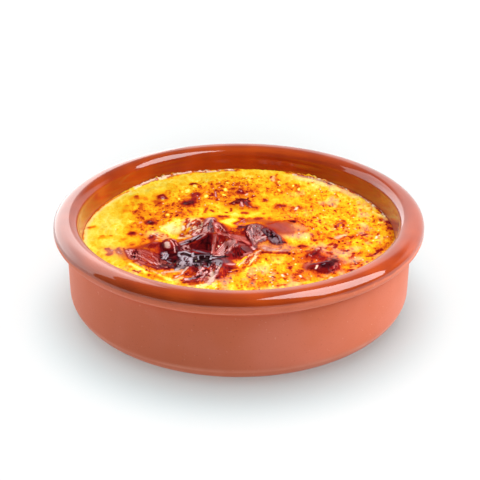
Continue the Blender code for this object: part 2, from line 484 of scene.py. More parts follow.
@dataclass(frozen=True)
class TerracottaFinish:
    """Red clay, bare or under a clear honey-brown glaze, by the mesh's glaze attribute, with pale painted
    highlights by a second one.
    """

    clay: Rgb = linear(223, 119, 86)
    clay_rose: Rgb = linear(229, 131, 107)
    clay_dark: Rgb = linear(184, 92, 68)
    clay_pale: Rgb = linear(240, 160, 134)
    glaze: Rgb = linear(188, 70, 8)
    glaze_dark: Rgb = linear(154, 50, 6)
    glaze_bright: Rgb = linear(208, 86, 14)
    clay_roughness: float = 0.62
    glaze_roughness: float = 0.3

    def material(self) -> bpy.types.Material:
        """Builds the material.

        Returns:
            Clay with fine grit, pale in painted highlights along the lip's lower edge and the turn of the
            base, and glaze that pools darker and thins to be bright.
        """
        material, nodes, shader = new_material("glazed_terracotta", {
            "Coat Roughness": 0.04, "Coat IOR": 1.6, "Specular IOR Level": 0.03,
            "Sheen Weight": 0.25, "Sheen Roughness": 0.4})
        glazed, edge_highlight = nodes.attribute("glaze"), nodes.attribute("edge_highlight")
        turning = nodes.noise(2.2, 3.0, (0.04, 0.04, 1.0))
        cloud = nodes.noise(22.0, 2.0)
        grit = nodes.noise(0.55, 2.0)
        crumbs = nodes.noise(1.1, 1.0)
        clay = nodes.mixed(cloud.between(0.4, 0.75) * 0.6, self.clay, self.clay_rose)
        clay = nodes.mixed(grit.between(0.6, 0.78) * 0.4, clay, self.clay_dark)
        clay = nodes.mixed(crumbs.between(0.7, 0.8) * 0.5 + edge_highlight * 0.8, clay, self.clay_pale)
        glaze = nodes.mixed(cloud.between(0.3, 0.75), self.glaze_dark, self.glaze)
        glaze = nodes.mixed(turning.between(0.5, 0.75) * 0.35, glaze, self.glaze_bright)
        height = grit * (1.0 - glazed) * 0.6 + turning * glazed * 0.5
        wire(shader, {
            "Base Color": nodes.mixed(glazed, clay, glaze),
            "Roughness": glazed * (self.glaze_roughness - self.clay_roughness) + self.clay_roughness,
            "Coat Weight": glazed,
            "Normal": nodes.bump(height, 0.12, 0.35),
        })
        return material


@dataclass
class Cazuela:
    """The thrown dish: a flat base, upright sides and a rolled rim, as one closed turned skin."""

    sectors: int = 288
    innermost: float = 6.0  # the radius of the ring of points next to either pole
    floor: float = 5.0
    inner_foot_radius: float = 53.6
    inner_curve: float = 8.0
    level_radius: float = 55.15
    bead_half_width: float = 4.4
    bead_half_height: float = 3.35
    bead_squareness: float = 2.3
    bead_sweep: Place = (180.0, -86.0)  # in degrees, from the inner wall over the top to the outer one
    wall_radius: float = 60.7
    base_radius: float = 49.0
    base_curve_height: float = 8.0
    groove_depth: float = 0.35
    groove_width: float = 0.7
    groove_height: float = 27.4
    glaze_edge: float = 32.1
    glaze_fade: float = 0.35
    glaze_wander: float = 0.35
    lip_highlight: Place = (28.7, 0.35)  # where a pale painted highlight runs along the bead's lower edge, and how wide
    foot_highlight: Place = (6.3, 0.55)  # and the turn of the base

    def profile(self) -> Array:
        """Works out the turned outline, between the two points on the axis.

        It runs over the floor, round a quarter circle, straight up the inner wall, over the rim's squared
        oval, down the upright side and round a quarter of an ellipse to the base.

        Returns:
            Rows of r and z.
        """
        low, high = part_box("cazuela")
        rim, top = high.x / MM, high.z / MM
        flat = self.inner_foot_radius - self.inner_curve
        floor = np.column_stack((np.linspace(self.innermost, flat, 8)[:-1], np.full(7, self.floor)))
        curve = arc((flat, self.floor + self.inner_curve), self.inner_curve, self.inner_curve, -90, 0, 8)
        bead_centre = (rim - self.bead_half_width, top - self.bead_half_height)
        wall = np.column_stack((np.linspace(self.inner_foot_radius, self.level_radius, 12)[1:],
                                np.linspace(self.floor + self.inner_curve, LEVEL, 12)[1:]))
        foot = bead_centre[0] - self.bead_half_width
        lip = np.column_stack((np.linspace(self.level_radius, foot, 5)[1:-1],
                               np.linspace(LEVEL, bead_centre[1], 5)[1:-1]))
        bead = arc(bead_centre, self.bead_half_width, self.bead_half_height, *self.bead_sweep, 57,
                   self.bead_squareness)
        side = np.linspace(bead[-1, 1], self.base_curve_height, 26)[1:-1]
        groove = self.groove_depth * np.exp(-((side - self.groove_height) / self.groove_width) ** 2)
        side = np.column_stack((self.wall_radius - groove, side))
        base = arc((self.base_radius, self.base_curve_height), self.wall_radius - self.base_radius,
                   self.base_curve_height, 0, -90, 22)
        under = np.linspace(self.base_radius, self.innermost, 8)[1:]
        under = np.column_stack((under, np.full(7, low.z / MM)))
        return np.concatenate([floor, curve, wall, lip, bead, side, base, under])

    def build(self) -> bpy.types.Object:
        """Turns the outline round Z and marks where it is glazed.

        The glaze covers everything above its edge, and everything inside the rim's crest; its edge wanders
        up and down round the dish.

        Returns:
            The dish, in place of its CAD solid.
        """
        outline = self.profile()
        angle = np.arange(self.sectors) / self.sectors * math.tau
        radius, height = (outline[:, axis : axis + 1].repeat(self.sectors, 1) for axis in (0, 1))
        x, y = radius * np.cos(angle), radius * np.sin(angle)
        rings = np.stack([x, y, height], -1).reshape(-1, 3)
        poles = np.array([[0.0, 0.0, self.floor], [0.0, 0.0, outline[-1, 1]]])
        points = np.concatenate([poles[:1], rings, poles[1:]])
        crest = int(np.argmax(outline[:, 1]))
        wander = self.glaze_wander * rough(x, y, 9.0, 41)
        drawn = smoothstep(-self.glaze_fade, self.glaze_fade, height - self.glaze_edge - wander)
        drawn[: crest + 1] = 1.0
        # painted highlights: pale lines along the bead's lower edge and the turn of the base, where they
        # catch the table's light
        edge_highlight = sum(np.exp(-(((height - middle) / width) ** 2))
                   for middle, width in (self.lip_highlight, self.foot_highlight))
        edge_highlight[: crest + 1] = 0.0
        edge_highlight *= 0.65 + 0.35 * rough(x, y, 7.0, 43)
        marks = {"glaze": np.concatenate([[1.0], drawn.ravel(), [0.0]]),
                 "edge_highlight": np.concatenate([[0.0], edge_highlight.ravel(), [0.0]])}
        quads, caps = closed_lathe_faces(len(outline), self.sectors)
        piece = add_piece("terracotta_dish", points, quads, caps, marks)
        piece.data.materials.append(TerracottaFinish().material())
        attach(piece, ROOT)
        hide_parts("cazuela")
        return piece


# ---------------------------------------------------------------------------------------------------------
# The crust's relief
# ---------------------------------------------------------------------------------------------------------


@dataclass(frozen=True)
class Crest:
    """A ridge of crust: a line of x, y and height, and how far it falls away to the left and right of it."""

    line: tuple[Point, ...]
    left: float
    right: float
    bow: float = 1.0

    def height(self, x: Array, y: Array) -> Array:
        """Gives the ridge's height: the line's own height times (1 - distance / reach) raised to the bow.

        Args:
            x: The places' first coordinate.
            y: Their second coordinate.

        Returns:
            The most that any stretch of the line gives at each place.
        """
        height = np.zeros_like(x)
        for (ax, ay, ah), (bx, by, bh) in zip(self.line, self.line[1:]):
            length = math.hypot(bx - ax, by - ay)
            ux, uy = (bx - ax) / length, (by - ay) / length
            share = np.clip(((x - ax) * ux + (y - ay) * uy) / length, 0.0, 1.0)
            away_x, away_y = x - (ax + share * (bx - ax)), y - (ay + share * (by - ay))
            reach = np.where(ux * away_y - uy * away_x > 0, self.left, self.right)
            fall = np.clip(1.0 - np.hypot(away_x, away_y) / reach, 0.0, 1.0)
            height = np.maximum(height, (ah + share * (bh - ah)) * fall**self.bow)
        return height


@dataclass(frozen=True)
class Blister:
    """A bubble in the crust, or with a negative height a hollow, on an oval plan."""

    x: float
    y: float
    peak: float
    along: float
    across: float
    turn: float = 0.0
    bow: float = 0.8

    def height(self, x: Array, y: Array) -> Array:
        """Gives the bubble's height: its peak times (1 - the oval's squared radius) raised to the bow.

        Args:
            x: The places' first coordinate.
            y: Their second coordinate.

        Returns:
            The height at each place.
        """
        along, across = turned(x - self.x, y - self.y, self.turn)
        inside = np.clip(1.0 - (along / self.along) ** 2 - (across / self.across) ** 2, 0.0, 1.0)
        return self.peak * inside**self.bow


def waves(x: Array, y: Array, lengths: tuple[float, float], seed: int, count: int = 14) -> Array:
    """An even scatter of hills and dips: the sum of sine waves of random heading, phase and length.

    Args:
        x: The places' first coordinate.
        y: Their second coordinate.
        lengths: The shortest and the longest wave.
        seed: Which waves.
        count: How many.

    Returns:
        Heights about nought, mostly within 1.
    """
    draw = np.random.default_rng(seed)
    total = np.zeros_like(x)
    for _ in range(count):
        heading, phase = draw.uniform(0, math.tau, 2)
        pace = math.tau / draw.uniform(*lengths)
        total += np.sin(pace * (x * math.cos(heading) + y * math.sin(heading)) + phase)
    return total / math.sqrt(count / 2)


CRESTS = (
    # The main peak: its back shoulder, its spine, its brow over the hollow front, and its arm on the right
    Crest(((-9.3, -2.7, 7.2), (-12.8, -1.4, 5.2), (-16.5, 1.3, 3.1), (-21.5, 7.3, 0.8)), 9.5, 4.5, 0.9),
    Crest(((-9.3, -2.7, 7.2), (-8.6, -8.0, 6.3), (-8.2, -12.0, 5.6)), 7.5, 6.0),
    Crest(((-21.0, -11.5, 2.4), (-16.1, -12.7, 3.8), (-10.8, -11.9, 5.4), (-8.0, -12.0, 5.6)), 8.5, 4.6, 1.1),
    Crest(((-8.0, -12.0, 5.6), (-3.5, -13.5, 4.9)), 5.0, 4.6, 1.1),
    Crest(((-8.1, -7.4, 6.4), (-2.8, -10.9, 4.6), (1.4, -12.8, 3.2), (4.2, -15.6, 1.7)), 5.5, 4.5, 1.1),
    # The block of crust right of the hollow, and the fold that runs from it to the right
    Crest(((-2.8, -11.9, 4.9), (-1.4, -16.4, 4.7), (-4.6, -20.9, 2.2)), 2.6, 2.8, 0.6),
    Crest(((-1.0, -15.1, 4.4), (2.2, -15.1, 2.8), (4.6, -16.1, 1.8)), 3.0, 3.6),
    # The thin rib that parts the hollow
    Crest(((-7.9, -12.2, 5.4), (-8.4, -14.8, 3.4), (-8.5, -18.8, 2.0)), 1.5, 1.5),
    # The wing of crust on the left
    Crest(((-38.6, -15.1, 1.2), (-35.4, -16.4, 1.9), (-32.3, -15.8, 2.4), (-29.3, -13.1, 3.2),
           (-25.2, -11.3, 3.4)), 4.0, 11.0),
    # The tongues that run down from the web of ash in front of the peak
    Crest(((-6.6, -22.9, 2.9), (-5.9, -27.5, 2.7), (-6.2, -32.0, 2.2), (-7.6, -35.9, 1.5),
           (-9.6, -37.5, 0.8)), 2.4, 2.8, 0.7),
    Crest(((-15.4, -26.5, 2.0), (-18.0, -31.5, 1.2), (-20.3, -35.0, 0.6)), 1.8, 1.8, 0.8),
    Crest(((-11.8, -26.1, 2.2), (-12.9, -31.5, 1.7), (-14.9, -36.5, 0.8)), 1.8, 1.8, 0.8),
    Crest(((-18.2, -38.1, 0.8), (-13.5, -37.6, 1.1), (-11.0, -38.1, 0.8)), 1.7, 1.7, 0.8),
    # The rounded hump right of the peak with its burnt tail, and the long smooth mound behind it
    Crest(((2.6, -3.5, 3.4), (4.4, -3.1, 4.4), (6.8, -3.8, 5.1), (9.8, -6.2, 5.2), (11.6, -8.3, 4.6)),
          3.4, 7.5, 0.6),
    Crest(((9.8, -6.2, 5.1), (12.7, -9.5, 4.4), (14.6, -12.1, 3.0)), 3.0, 3.4, 0.6),
    Crest(((9.5, -0.1, 2.4), (11.8, 1.7, 2.8), (15.1, 3.2, 3.0), (18.2, 4.1, 2.8), (21.9, 3.1, 2.1),
           (24.4, 0.9, 1.2)), 2.6, 13.0, 1.1),
    # The fold of skin in front of them
    Crest(((6.0, -14.9, 2.0), (11.5, -15.7, 1.8), (16.1, -15.1, 1.5), (19.6, -14.5, 0.9)), 4.0, 2.4, 0.8),
    # The small peak at the back
    Crest(((-4.4, 23.9, 0.5), (-1.6, 23.0, 1.5), (0.9, 21.9, 2.5), (3.2, 21.0, 1.5), (7.4, 19.5, 0.4)),
          4.4, 3.6),
    # The three-cornered blister on the right
    Crest(((22.0, -18.7, 0.5), (26.3, -16.4, 2.1), (29.4, -20.7, 0.5)), 2.6, 3.6),
)

BLISTERS = (
    # The web of ash, before its holes
    Blister(-15.4, -22.1, 2.3, 11.6, 6.0, 4.0, 0.35),
    Blister(-21.8, -22.5, 1.9, 5.4, 5.2, 0.0, 0.4),
    # The glossy bubble on the wing, and the boat-shaped one on the right
    Blister(-23.5, -14.7, 4.0, 4.0, 3.6, 0.0, 0.6),
    Blister(28.4, -27.5, 2.4, 5.8, 4.0, 16.0, 0.6),
    # The larger spots of burnt sugar
    Blister(-18.2, 23.5, 0.6, 2.6, 2.2),
    Blister(-31.8, 7.9, 0.7, 2.3, 2.2),
    Blister(37.0, 5.7, 0.6, 3.4, 1.8, 70.0),
)

HOLLOWS = (
    Blister(-22.1, -20.5, -2.3, 3.4, 2.5, -4.0),
    Blister(-12.6, -22.5, -2.0, 4.2, 2.2, 4.0),
    Blister(-17.2, -18.1, -1.6, 2.6, 1.4, -15.0),
    Blister(-12.8, -15.7, -1.5, 3.6, 2.2, 8.0),
    Blister(-5.6, -16.4, -1.4, 1.9, 2.2),
    Blister(-0.9, -19.5, -0.9, 2.8, 1.8, 15.0),
)


# ---------------------------------------------------------------------------------------------------------
# The crust's colours, as marks laid one over another
# ---------------------------------------------------------------------------------------------------------


class Tint(Enum):
    """What a mark lays on the crust."""

    BURN = "burn"  # how far the sugar has burnt: 0 is pale custard, 0.5 orange, 0.75 red-brown and 1 black
    ROSE = "rose"  # partly the pink of a thin film of caramel, partly painted sheen: the lamps' reflection on glossy caramel, up to pink-white highlights
    CREAM = "cream"  # whitened sugar, and painted highlights: the glints on the tops of bubbles and on glossy crags
    ASH = "ash"  # the grey of sugar burnt out; its brightest threads on the web and a mauve mark on a blister are painted highlights


@dataclass(frozen=True)
class Wash:
    """A broad soft change of the burn: where, how far it reaches along and across, how much, and its turn."""

    u: float
    v: float
    along: float
    across: float
    burn: float
    turn: float = 0.0

    def added(self, u: Array, v: Array) -> Array:
        """The change at each place: a bell over an oval."""
        along, across = turned(u - self.u, v - self.v, self.turn)
        return self.burn * np.exp(-((along / self.along) ** 2) - (across / self.across) ** 2)


@dataclass(frozen=True)
class Mark:
    """A line that carries a tint to a value out to a half width, or a spot if the line has one place."""

    tint: Tint
    value: float
    width: float
    line: tuple[Place, ...]
    blur: float

    def near(self, u: Array, v: Array) -> Array:
        """Picks the points that the mark can reach.

        Args:
            u: The places' first coordinate on the crust.
            v: Their second coordinate.

        Returns:
            Their numbers.
        """
        across, along = zip(*self.line)
        reach = self.width * 4.5 + 0.5
        near = (u > min(across) - reach) & (u < max(across) + reach)
        return np.flatnonzero(near & (v > min(along) - reach) & (v < max(along) + reach))

    def mask(self, u: Array, v: Array) -> tuple[Array, Array]:
        """Gives how much of the mark lies at each place, and how much of its halo.

        The mark is 1 inside and fades over the blur's share of the width. The halo starts at its edge and
        falls to a third for each width further out.

        Args:
            u: The places' first coordinate on the crust.
            v: Their second coordinate.

        Returns:
            The mark and the halo, from 0 to 1.
        """
        ends = self.line[1:] or self.line
        away = np.full_like(u, 9e9)
        for (au, av), (bu, bv) in zip(self.line, ends):
            square = max((bu - au) ** 2 + (bv - av) ** 2, 1e-9)
            share = np.clip(((u - au) * (bu - au) + (v - av) * (bv - av)) / square, 0.0, 1.0)
            away = np.minimum(away, np.hypot(u - au - share * (bu - au), v - av - share * (bv - av)))
        away = away / self.width
        return smoothstep(1.0 + self.blur, 1.0 - self.blur, away), np.exp(-np.maximum(away - 0.8, 0.0) * 1.1)


def make_mark(tint: Tint, value: float, width: float, *line: float, blur: float = 0.45) -> Mark:
    """Makes a mark.

    Args:
        tint: What it lays.
        value: How much of it.
        width: Its half width.
        line: The coordinates of its places in turn, u and v of each.
        blur: Over which share of the half width it fades, inwards and outwards.

    Returns:
        The mark.
    """
    return Mark(tint, value, width, tuple(zip(line[::2], line[1::2])), blur)


burn, rose, cream, ash = (partial(make_mark, tint) for tint in Tint)


def threads(lay: Callable[..., Mark], low: float, high: float, width: float, count: int, first: Line,
            last: Line, seed: int, stretches: Place = (0.25, 0.7)) -> tuple[Mark, ...]:
    """Fine lines that run side by side between two guide lines, each over its own stretch of the way.

    Args:
        lay: Which kind of mark they are.
        low: The least that a line carries.
        high: The most.
        width: A line's usual half width.
        count: How many lines.
        first: The guide line on one side, as its places' coordinates in turn.
        last: The guide line on the other, with as many places.
        seed: Which draw.
        stretches: The shortest and the longest line, as shares of the way.

    Returns:
        The lines.
    """
    draw = np.random.default_rng(seed)
    guides = np.reshape([first, last], (2, -1, 2))
    knots = np.linspace(0.0, 1.0, guides.shape[1])
    lines = []
    for _ in range(count):
        across, start, stretch, amount, thick = draw.uniform(0.0, 1.0, 5)
        stretch = stretches[0] + (stretches[1] - stretches[0]) * stretch
        way = (1.0 - stretch) * start + stretch * np.linspace(0.0, 1.0, THREAD_PLACES)
        one, other = (np.column_stack([np.interp(way, knots, side) for side in guide.T]) for guide in guides)
        line = one * (1.0 - across) + other * across + draw.normal(0.0, THREAD_WAVER, (THREAD_PLACES, 2))
        lines.append(lay(low + (high - low) * amount, width * (0.6 + 0.8 * thick), *line.ravel().tolist()))
    return tuple(lines)


def rim(inset: float, rise: float, first: float, last: float) -> Line:
    """Gives places along the custard's edge.

    Args:
        inset: How far inside the dish's wall they lie.
        rise: How far above the custard's level.
        first: The first place's direction in degrees, from the right towards the back.
        last: The last one's.

    Returns:
        The places' coordinates in turn.
    """
    angle = np.radians(np.linspace(first, last, max(2, round(abs(last - first) / RIM_STEP))))
    shift = MARK_LEAN * (LEVEL + rise - MARK_LEVEL)
    places = np.column_stack(((EDGE - inset) * np.cos(angle), (EDGE - inset) * np.sin(angle) + shift))
    return tuple(places.ravel().tolist())


WASHES = (
    # The back left, from the middle of the side to behind the peak
    Wash(-30, 16, 12, 12, 0.15), Wash(-12, 33, 11, 10, 0.15), Wash(-18, 22, 6, 8, 0.08),
    Wash(-46, 0, 8, 24, -0.15), Wash(-35, 34, 12, 7, -0.1, 35), Wash(-32, 4, 7, 5, 0.22),
    Wash(-6, 12, 8, 4, -0.15), Wash(-22, 45, 12, 4, -0.08, 25), Wash(-18, 39, 4, 5, -0.06),
    Wash(-31, 23, 5, 5, -0.08), Wash(4, 52, 16, 4.5, -0.05),
    # The back right
    Wash(3, 34, 9, 10, 0.17), Wash(18, 37, 7, 5, 0.09), Wash(18, 13, 8, 6, 0.09),
    Wash(34, 24, 10, 16, -0.03), Wash(48, 4, 6, 12, 0.05), Wash(12, 22, 6, 5, -0.07),
    Wash(7, 11.5, 7, 2.5, -0.14), Wash(26, 44, 12, 5, -0.06, -35), Wash(26, -2, 8, 10, 0.26),
    Wash(33, 24, 9, 11, 0.14), Wash(36, -12, 8, 7, 0.1),
    # The front right
    Wash(24, -21, 6, 6, 0.16), Wash(37, -23, 8, 8, 0.14), Wash(12, -33, 9, 6, 0.06),
    Wash(19, -34, 3, 6, 0.1), Wash(2, -38, 12, 6, 0.14), Wash(46, -7, 8, 10, 0.05),
    # The front left
    Wash(-42, -22, 7, 5, -0.1, -45), Wash(-28, -34, 10, 4, 0.06, -35),
)

MARKS = (
    # Spots at the back left; the small spots of very low burn are painted glints on bubbles
    burn(0.72, 1, -18.4, 39.2, -17.8, 40.2, -16.9, 39.6),
    burn(0.84, 0.5, -18.4, 39.6, -17.6, 40.5, -16.9, 40.1), burn(0.05, 0.6, -17.1, 38.9, -17.2, 37.4),
    burn(0.08, 0.4, -17.7, 35.9, -17.6, 35), burn(0.64, 0.5, -15.6, 38.4, -14.8, 35),
    burn(0.03, 0.85, -19.8, 34.8, -19.8, 32.8), burn(0.1, 0.5, -21.7, 33.2, -21.6, 32.4),
    burn(0.58, 0.4, -28.4, 31.4, -27.8, 33.6, -26.8, 33.4, -26.3, 30.4),
    burn(0.7, 1.8, -29.1, 28, -29, 26.2),
    burn(0.82, 0.45, -30.2, 26.8, -30.1, 28.8, -29, 29.8, -27.9, 28.6, -27.6, 26.4),
    rose(0.85, 0.75, -28.8, 27.6, -28.7, 25.8), burn(0.9, 0.35, -29.1, 27.1, -28.7, 27.2),
    burn(0.1, 0.6, -28.8, 25), burn(0.7, 1.4, -30.8, 23.6, -30, 20.6),
    burn(0.6, 2.2, -16.4, 29.6, -17.6, 25.6, blur=0.7), burn(0.74, 1.3, -16.6, 30.2, -15.8, 28.6),
    burn(0.84, 0.7, -17.4, 30.2, -16.4, 31, -15.4, 29.8),
    burn(0.82, 0.8, -17.5, 29.6, -17, 26.6, -17.4, 24.4), rose(0.8, 0.35, -15.9, 29.2, -15.7, 28.4),
    rose(0.6, 0.3, -18.4, 25.2), burn(0.6, 3, -19.2, 21.2, blur=0.6),
    burn(0.84, 1.8, -19.6, 21.4, -18, 22.6), burn(0.93, 1.1, -19.8, 21.2, -18.4, 22.2),
    burn(0.76, 0.9, -20.6, 19.8, -19.6, 18.8), rose(0.4, 0.3, -17.8, 22),
    burn(0.08, 0.5, -22.8, 26.2, -22.7, 25.2), burn(0.6, 0.9, -25.6, 20.4, -25.2, 17, blur=0.7),
    burn(0.22, 0.7, -28.2, 16.2), burn(0.6, 0.3, -28.6, 15.2, -28.2, 16.8),
    burn(0.02, 0.7, -26.3, 12, -26.2, 11.4), burn(0.82, 0.7, -27.3, 9.2, -27, 8.4),
    burn(0.62, 1.2, -27.6, 8.6), burn(0.7, 1.5, -22.4, 14, -21.2, 11.8),
    rose(0.35, 0.6, -22.4, 14.2, -21.6, 13.4), burn(0.62, 1, -18, 14.8), burn(0.6, 0.6, -16.8, 16.4),
    rose(0.5, 0.35, -17.9, 14.4), burn(0.68, 1, -9.6, 33.8, -9.4, 29.6),
    burn(0.7, 0.8, -8.9, 28.8, -8.5, 24.6), burn(0.84, 0.4, -10, 31, -9.6, 28.8),
    rose(0.85, 0.35, -9, 32.4, -8.3, 28), burn(0.86, 0.4, -8.6, 25, -8.5, 24.4),
    burn(0.68, 0.4, -10, 38.2, -10.2, 35.6), burn(0.64, 0.35, -12.6, 37, -12.8, 34),
    burn(0.82, 0.55, -6.2, 23.9, -5, 24), burn(0.62, 1.1, -5.6, 23.9),
    burn(0.68, 0.9, -2.4, 34.4, -2.9, 30.2), burn(0.72, 0.7, -1.2, 39.2, -0.2, 40.4),
    burn(0.64, 0.6, -8.2, 40.4), burn(0.72, 0.5, -11.9, 18, -12.7, 13.8), rose(0.6, 0.3, -12, 16.8),
    burn(0.78, 0.6, -10.2, 15.8, -9.5, 14.8), burn(0.66, 1.3, -6.6, 10.2, -4.8, 9.8, blur=0.7),
    burn(0.82, 0.7, -6.8, 10.6, -4.6, 10.2), burn(0.78, 0.4, -3, 17.4, -2.9, 14.8),
    burn(0.8, 0.45, -4.6, 14.2, -4.2, 13.8), burn(0.1, 0.8, -12.2, 28.8, -12.2, 27.8),
    burn(0.12, 0.8, -5.3, 35.2, -5, 34), burn(0.12, 0.7, -4.4, 41.4), burn(0.14, 0.7, -5.7, 29.8, -5.5, 29),
    # Spots at the far left; the small spot of very low burn is a painted glint
    burn(0.64, 1.1, -38.9, 27.8, -38.7, 26.8), burn(0.74, 0.4, -39.2, 28.2, -38.5, 27.4),
    burn(0.56, 0.9, -35.4, 26.4, -35.2, 25.2), burn(0.66, 0.5, -47.8, 24.4, -46.8, 24.7),
    burn(0.58, 0.6, -46.2, 23, -45.8, 22.2), burn(0.56, 0.6, -48.9, 20, -48.7, 19.2),
    burn(0.1, 0.5, -47.8, 18.6), burn(0.48, 0.8, -42, 19.6, -42, 18.4, blur=0.8),
    burn(0.48, 0.8, -42.1, 16, -42, 15, blur=0.8), burn(0.7, 0.8, -36.2, 20.8, -36.6, 16.8),
    burn(0.66, 1.2, -37.2, 15.6, -37.4, 12.6), burn(0.68, 0.8, -36.4, 12, -35.6, 9),
    burn(0.56, 0.5, -40, 23, -39.4, 17), burn(0.52, 1.2, -34.2, 17, -33.6, 14, blur=0.8),
    burn(0.62, 0.35, -53.6, 0.6, -52, 1.6),
    # The paler edge on the left, the crystals that cling to it at the back, and the pink edge with crystals
    # on the right; a dark line runs at the wall on both sides
    burn(0.16, 2.4, *rim(1.2, 0, 142, 214), blur=0.8), cream(0.3, 0.7, *rim(0.8, 0.2, 140, 212), blur=0.8),
    burn(0.6, 0.35, *rim(0, 0, 140, 222)), rose(1, 0.9, *rim(0.2, 1.1, 106, 136)),
    rose(0.9, 0.4, *rim(0.5, 0.5, 92, 106)), cream(0.5, 0.5, *rim(0.2, 1.2, 108, 134)),
    *threads(burn, 0.56, 0.76, 0.3, 22, rim(0.9, 0.4, 88, 138), rim(0, 1.7, 88, 138), 51, (0.02, 0.05)),
    *threads(cream, 0.6, 1, 0.3, 26, rim(0.9, 0.4, 90, 138), rim(0, 1.7, 90, 138), 52, (0.01, 0.05)),
    cream(0.3, 1.5, *rim(1.9, 0.3, 34, 64), blur=0.9), rose(0.8, 0.4, *rim(0.5, 0.6, 14, 66)),
    burn(0.8, 0.35, *rim(0, 0.9, 4, 70)),
    *threads(cream, 0.6, 1, 0.26, 22, rim(0.9, 0.3, 4, 68), rim(0.2, 0.9, 4, 68), 53, (0.01, 0.05)),
    *threads(burn, 0.7, 0.86, 0.3, 16, rim(0.9, 0.3, -8, 68), rim(0, 0.9, -8, 68), 54, (0.02, 0.06)),
    burn(0.56, 1.6, *rim(1.2, 0, -24, 8), blur=0.9),
    # Spots at the back right; the small spots of very low burn and of cream are painted glints
    burn(0.66, 1.7, 1, 35.4, 1.4, 30.2, blur=0.6), burn(0.82, 0.8, 0.6, 34.4, 1.6, 31.2),
    burn(0.84, 0.5, -0.2, 33, 0.2, 31.4), rose(0.8, 0.35, 1, 33.4, 1, 32.6),
    cream(0.6, 0.35, 3.4, 30.8, 3, 29.6), burn(0.56, 1.2, 1.6, 44.8), burn(0.3, 0.5, 1.6, 44.4),
    burn(0.68, 0.9, 6.4, 35.2, 6.4, 33.4), burn(0.7, 0.8, 5.1, 28.8, 4.9, 27.4), burn(0.66, 0.7, 6.4, 27.8),
    cream(0.3, 0.9, 13.6, 46.6, 13.4, 43.8, blur=0.8), burn(0.78, 0.5, 13, 46.8, 12.7, 45.4),
    burn(0.68, 0.45, 15.1, 49.2, 14.8, 47.2), burn(0.6, 0.8, 14.8, 45.6, 15.4, 43.6),
    burn(0.72, 0.4, 15.6, 44.6, 16.1, 43.2), burn(0.04, 0.45, 16, 42.6, 15.6, 41.4),
    cream(0.4, 0.3, 15.4, 41), burn(0.56, 1.4, 14.2, 39.4, 15.4, 36.8, blur=0.8),
    burn(0.74, 0.6, 14.6, 41.6, 15.1, 39.2), burn(0.64, 0.5, 13.4, 39.2, 13.8, 38.6),
    burn(0.03, 0.55, 15.6, 33.8, 15.5, 32.6), burn(0.66, 0.5, 14.7, 33.6, 14.3, 31.8),
    burn(0.62, 0.35, 16.1, 35.4, 16.5, 33.4), burn(0.6, 0.5, 15.6, 31.2, 16.4, 30.4),
    burn(0.64, 0.6, 11.8, 32.8, 11.6, 31.6), burn(0.56, 1.3, 20.2, 38.2, 19.4, 34, blur=0.8),
    burn(0.66, 0.5, 19.3, 41.2, 18.8, 38.8), burn(0.62, 1, 22, 37.6, 22.4, 33.6),
    burn(0.74, 0.4, 22.2, 39.8, 22, 37.8), burn(0.74, 0.35, 22.9, 36.8, 22.8, 34.2),
    burn(0.08, 0.4, 23.4, 35.8, 23.1, 33.6), burn(0.12, 0.4, 21.3, 38.8, 21.1, 37.6),
    burn(0.6, 0.4, 19.4, 36.4, 18.2, 34.2), burn(0.54, 1.4, 24.2, 28.2),
    burn(0.7, 0.35, 23.6, 29, 23.6, 27.6), burn(0.7, 0.35, 24.7, 29.4, 24.6, 27.8),
    burn(0.58, 0.55, 27.4, 28.4, 28.8, 31.6), burn(0.6, 1.4, 9.8, 24.8),
    burn(0.8, 0.8, 9.8, 25.4, 10.1, 24.4), burn(0.58, 2, 14.4, 17, 16, 18.4, blur=0.7),
    burn(0.8, 1.2, 15.2, 20, 16.6, 19.6), rose(0.4, 0.4, 16.5, 19.6),
    burn(0.74, 0.9, 13.8, 17.6, 14.8, 18.4), rose(0.9, 0.3, 15.4, 18.6),
    burn(0.64, 0.6, 14.4, 16.2, 14.3, 14.4), burn(0.64, 1.3, 20.2, 18.4, 19.4, 14.6),
    burn(0.76, 0.5, 20.1, 19, 20.6, 17.6), burn(0.72, 0.45, 19.5, 16.6, 19.2, 14.4),
    burn(0.64, 1.2, 22.6, 18.4, 22, 16.4), cream(0.65, 0.45, 21.7, 18.4, 21.1, 16.8),
    burn(0.76, 0.35, 22.2, 19.8, 22.8, 17), burn(0.54, 0.7, 29, 41.6), burn(0.66, 0.55, 9.4, 12.4),
    burn(0.62, 0.5, 11.4, 9.4), burn(0.72, 0.45, 20.6, 8.8, 21.4, 8.8), burn(0.7, 0.5, 27, 8.6, 28, 9.8),
    burn(0.68, 0.4, 29.9, 12.9, 29.8, 12), burn(0.56, 0.5, 28.2, 14.4),
    burn(0.5, 1, 26.8, 25.6, 27, 21, blur=0.8), burn(0.58, 0.8, 38.2, 31.7),
    burn(0.56, 1, 38.2, 19.6, 37.6, 17.6), burn(0.54, 0.8, 40, 14.4), burn(0.66, 0.6, 42.8, 12.2, 42, 10.6),
    burn(0.54, 0.9, 46, 16.4), burn(0.54, 0.8, 48.4, 19.2), burn(0.54, 0.6, 45, 20.8),
    burn(0.5, 0.8, 37, 27), burn(0.56, 0.8, 46, 9.4, 45.6, 8.6), burn(0.76, 1, 1.6, 13.8, 2.8, 13.6),
    burn(0.66, 0.9, 0.8, 17.2), burn(0.56, 0.5, 35.2, 11.4), burn(0.7, 0.9, 51.6, 9, 51.6, 7.6),
    burn(0.03, 0.8, 51.5, 6, 51.5, 5.2), burn(0.84, 0.9, 54, 6, 54.3, 4.8),
    burn(0.84, 0.8, 54.2, 1, 54.5, -0.2),
    # The small peak at the back, its left face painted dark as shade and its right face painted pink-white as
    # lit
    burn(0.6, 2.4, -2.2, 21.2, 1, 21.6, 5.4, 18.2, blur=0.7),
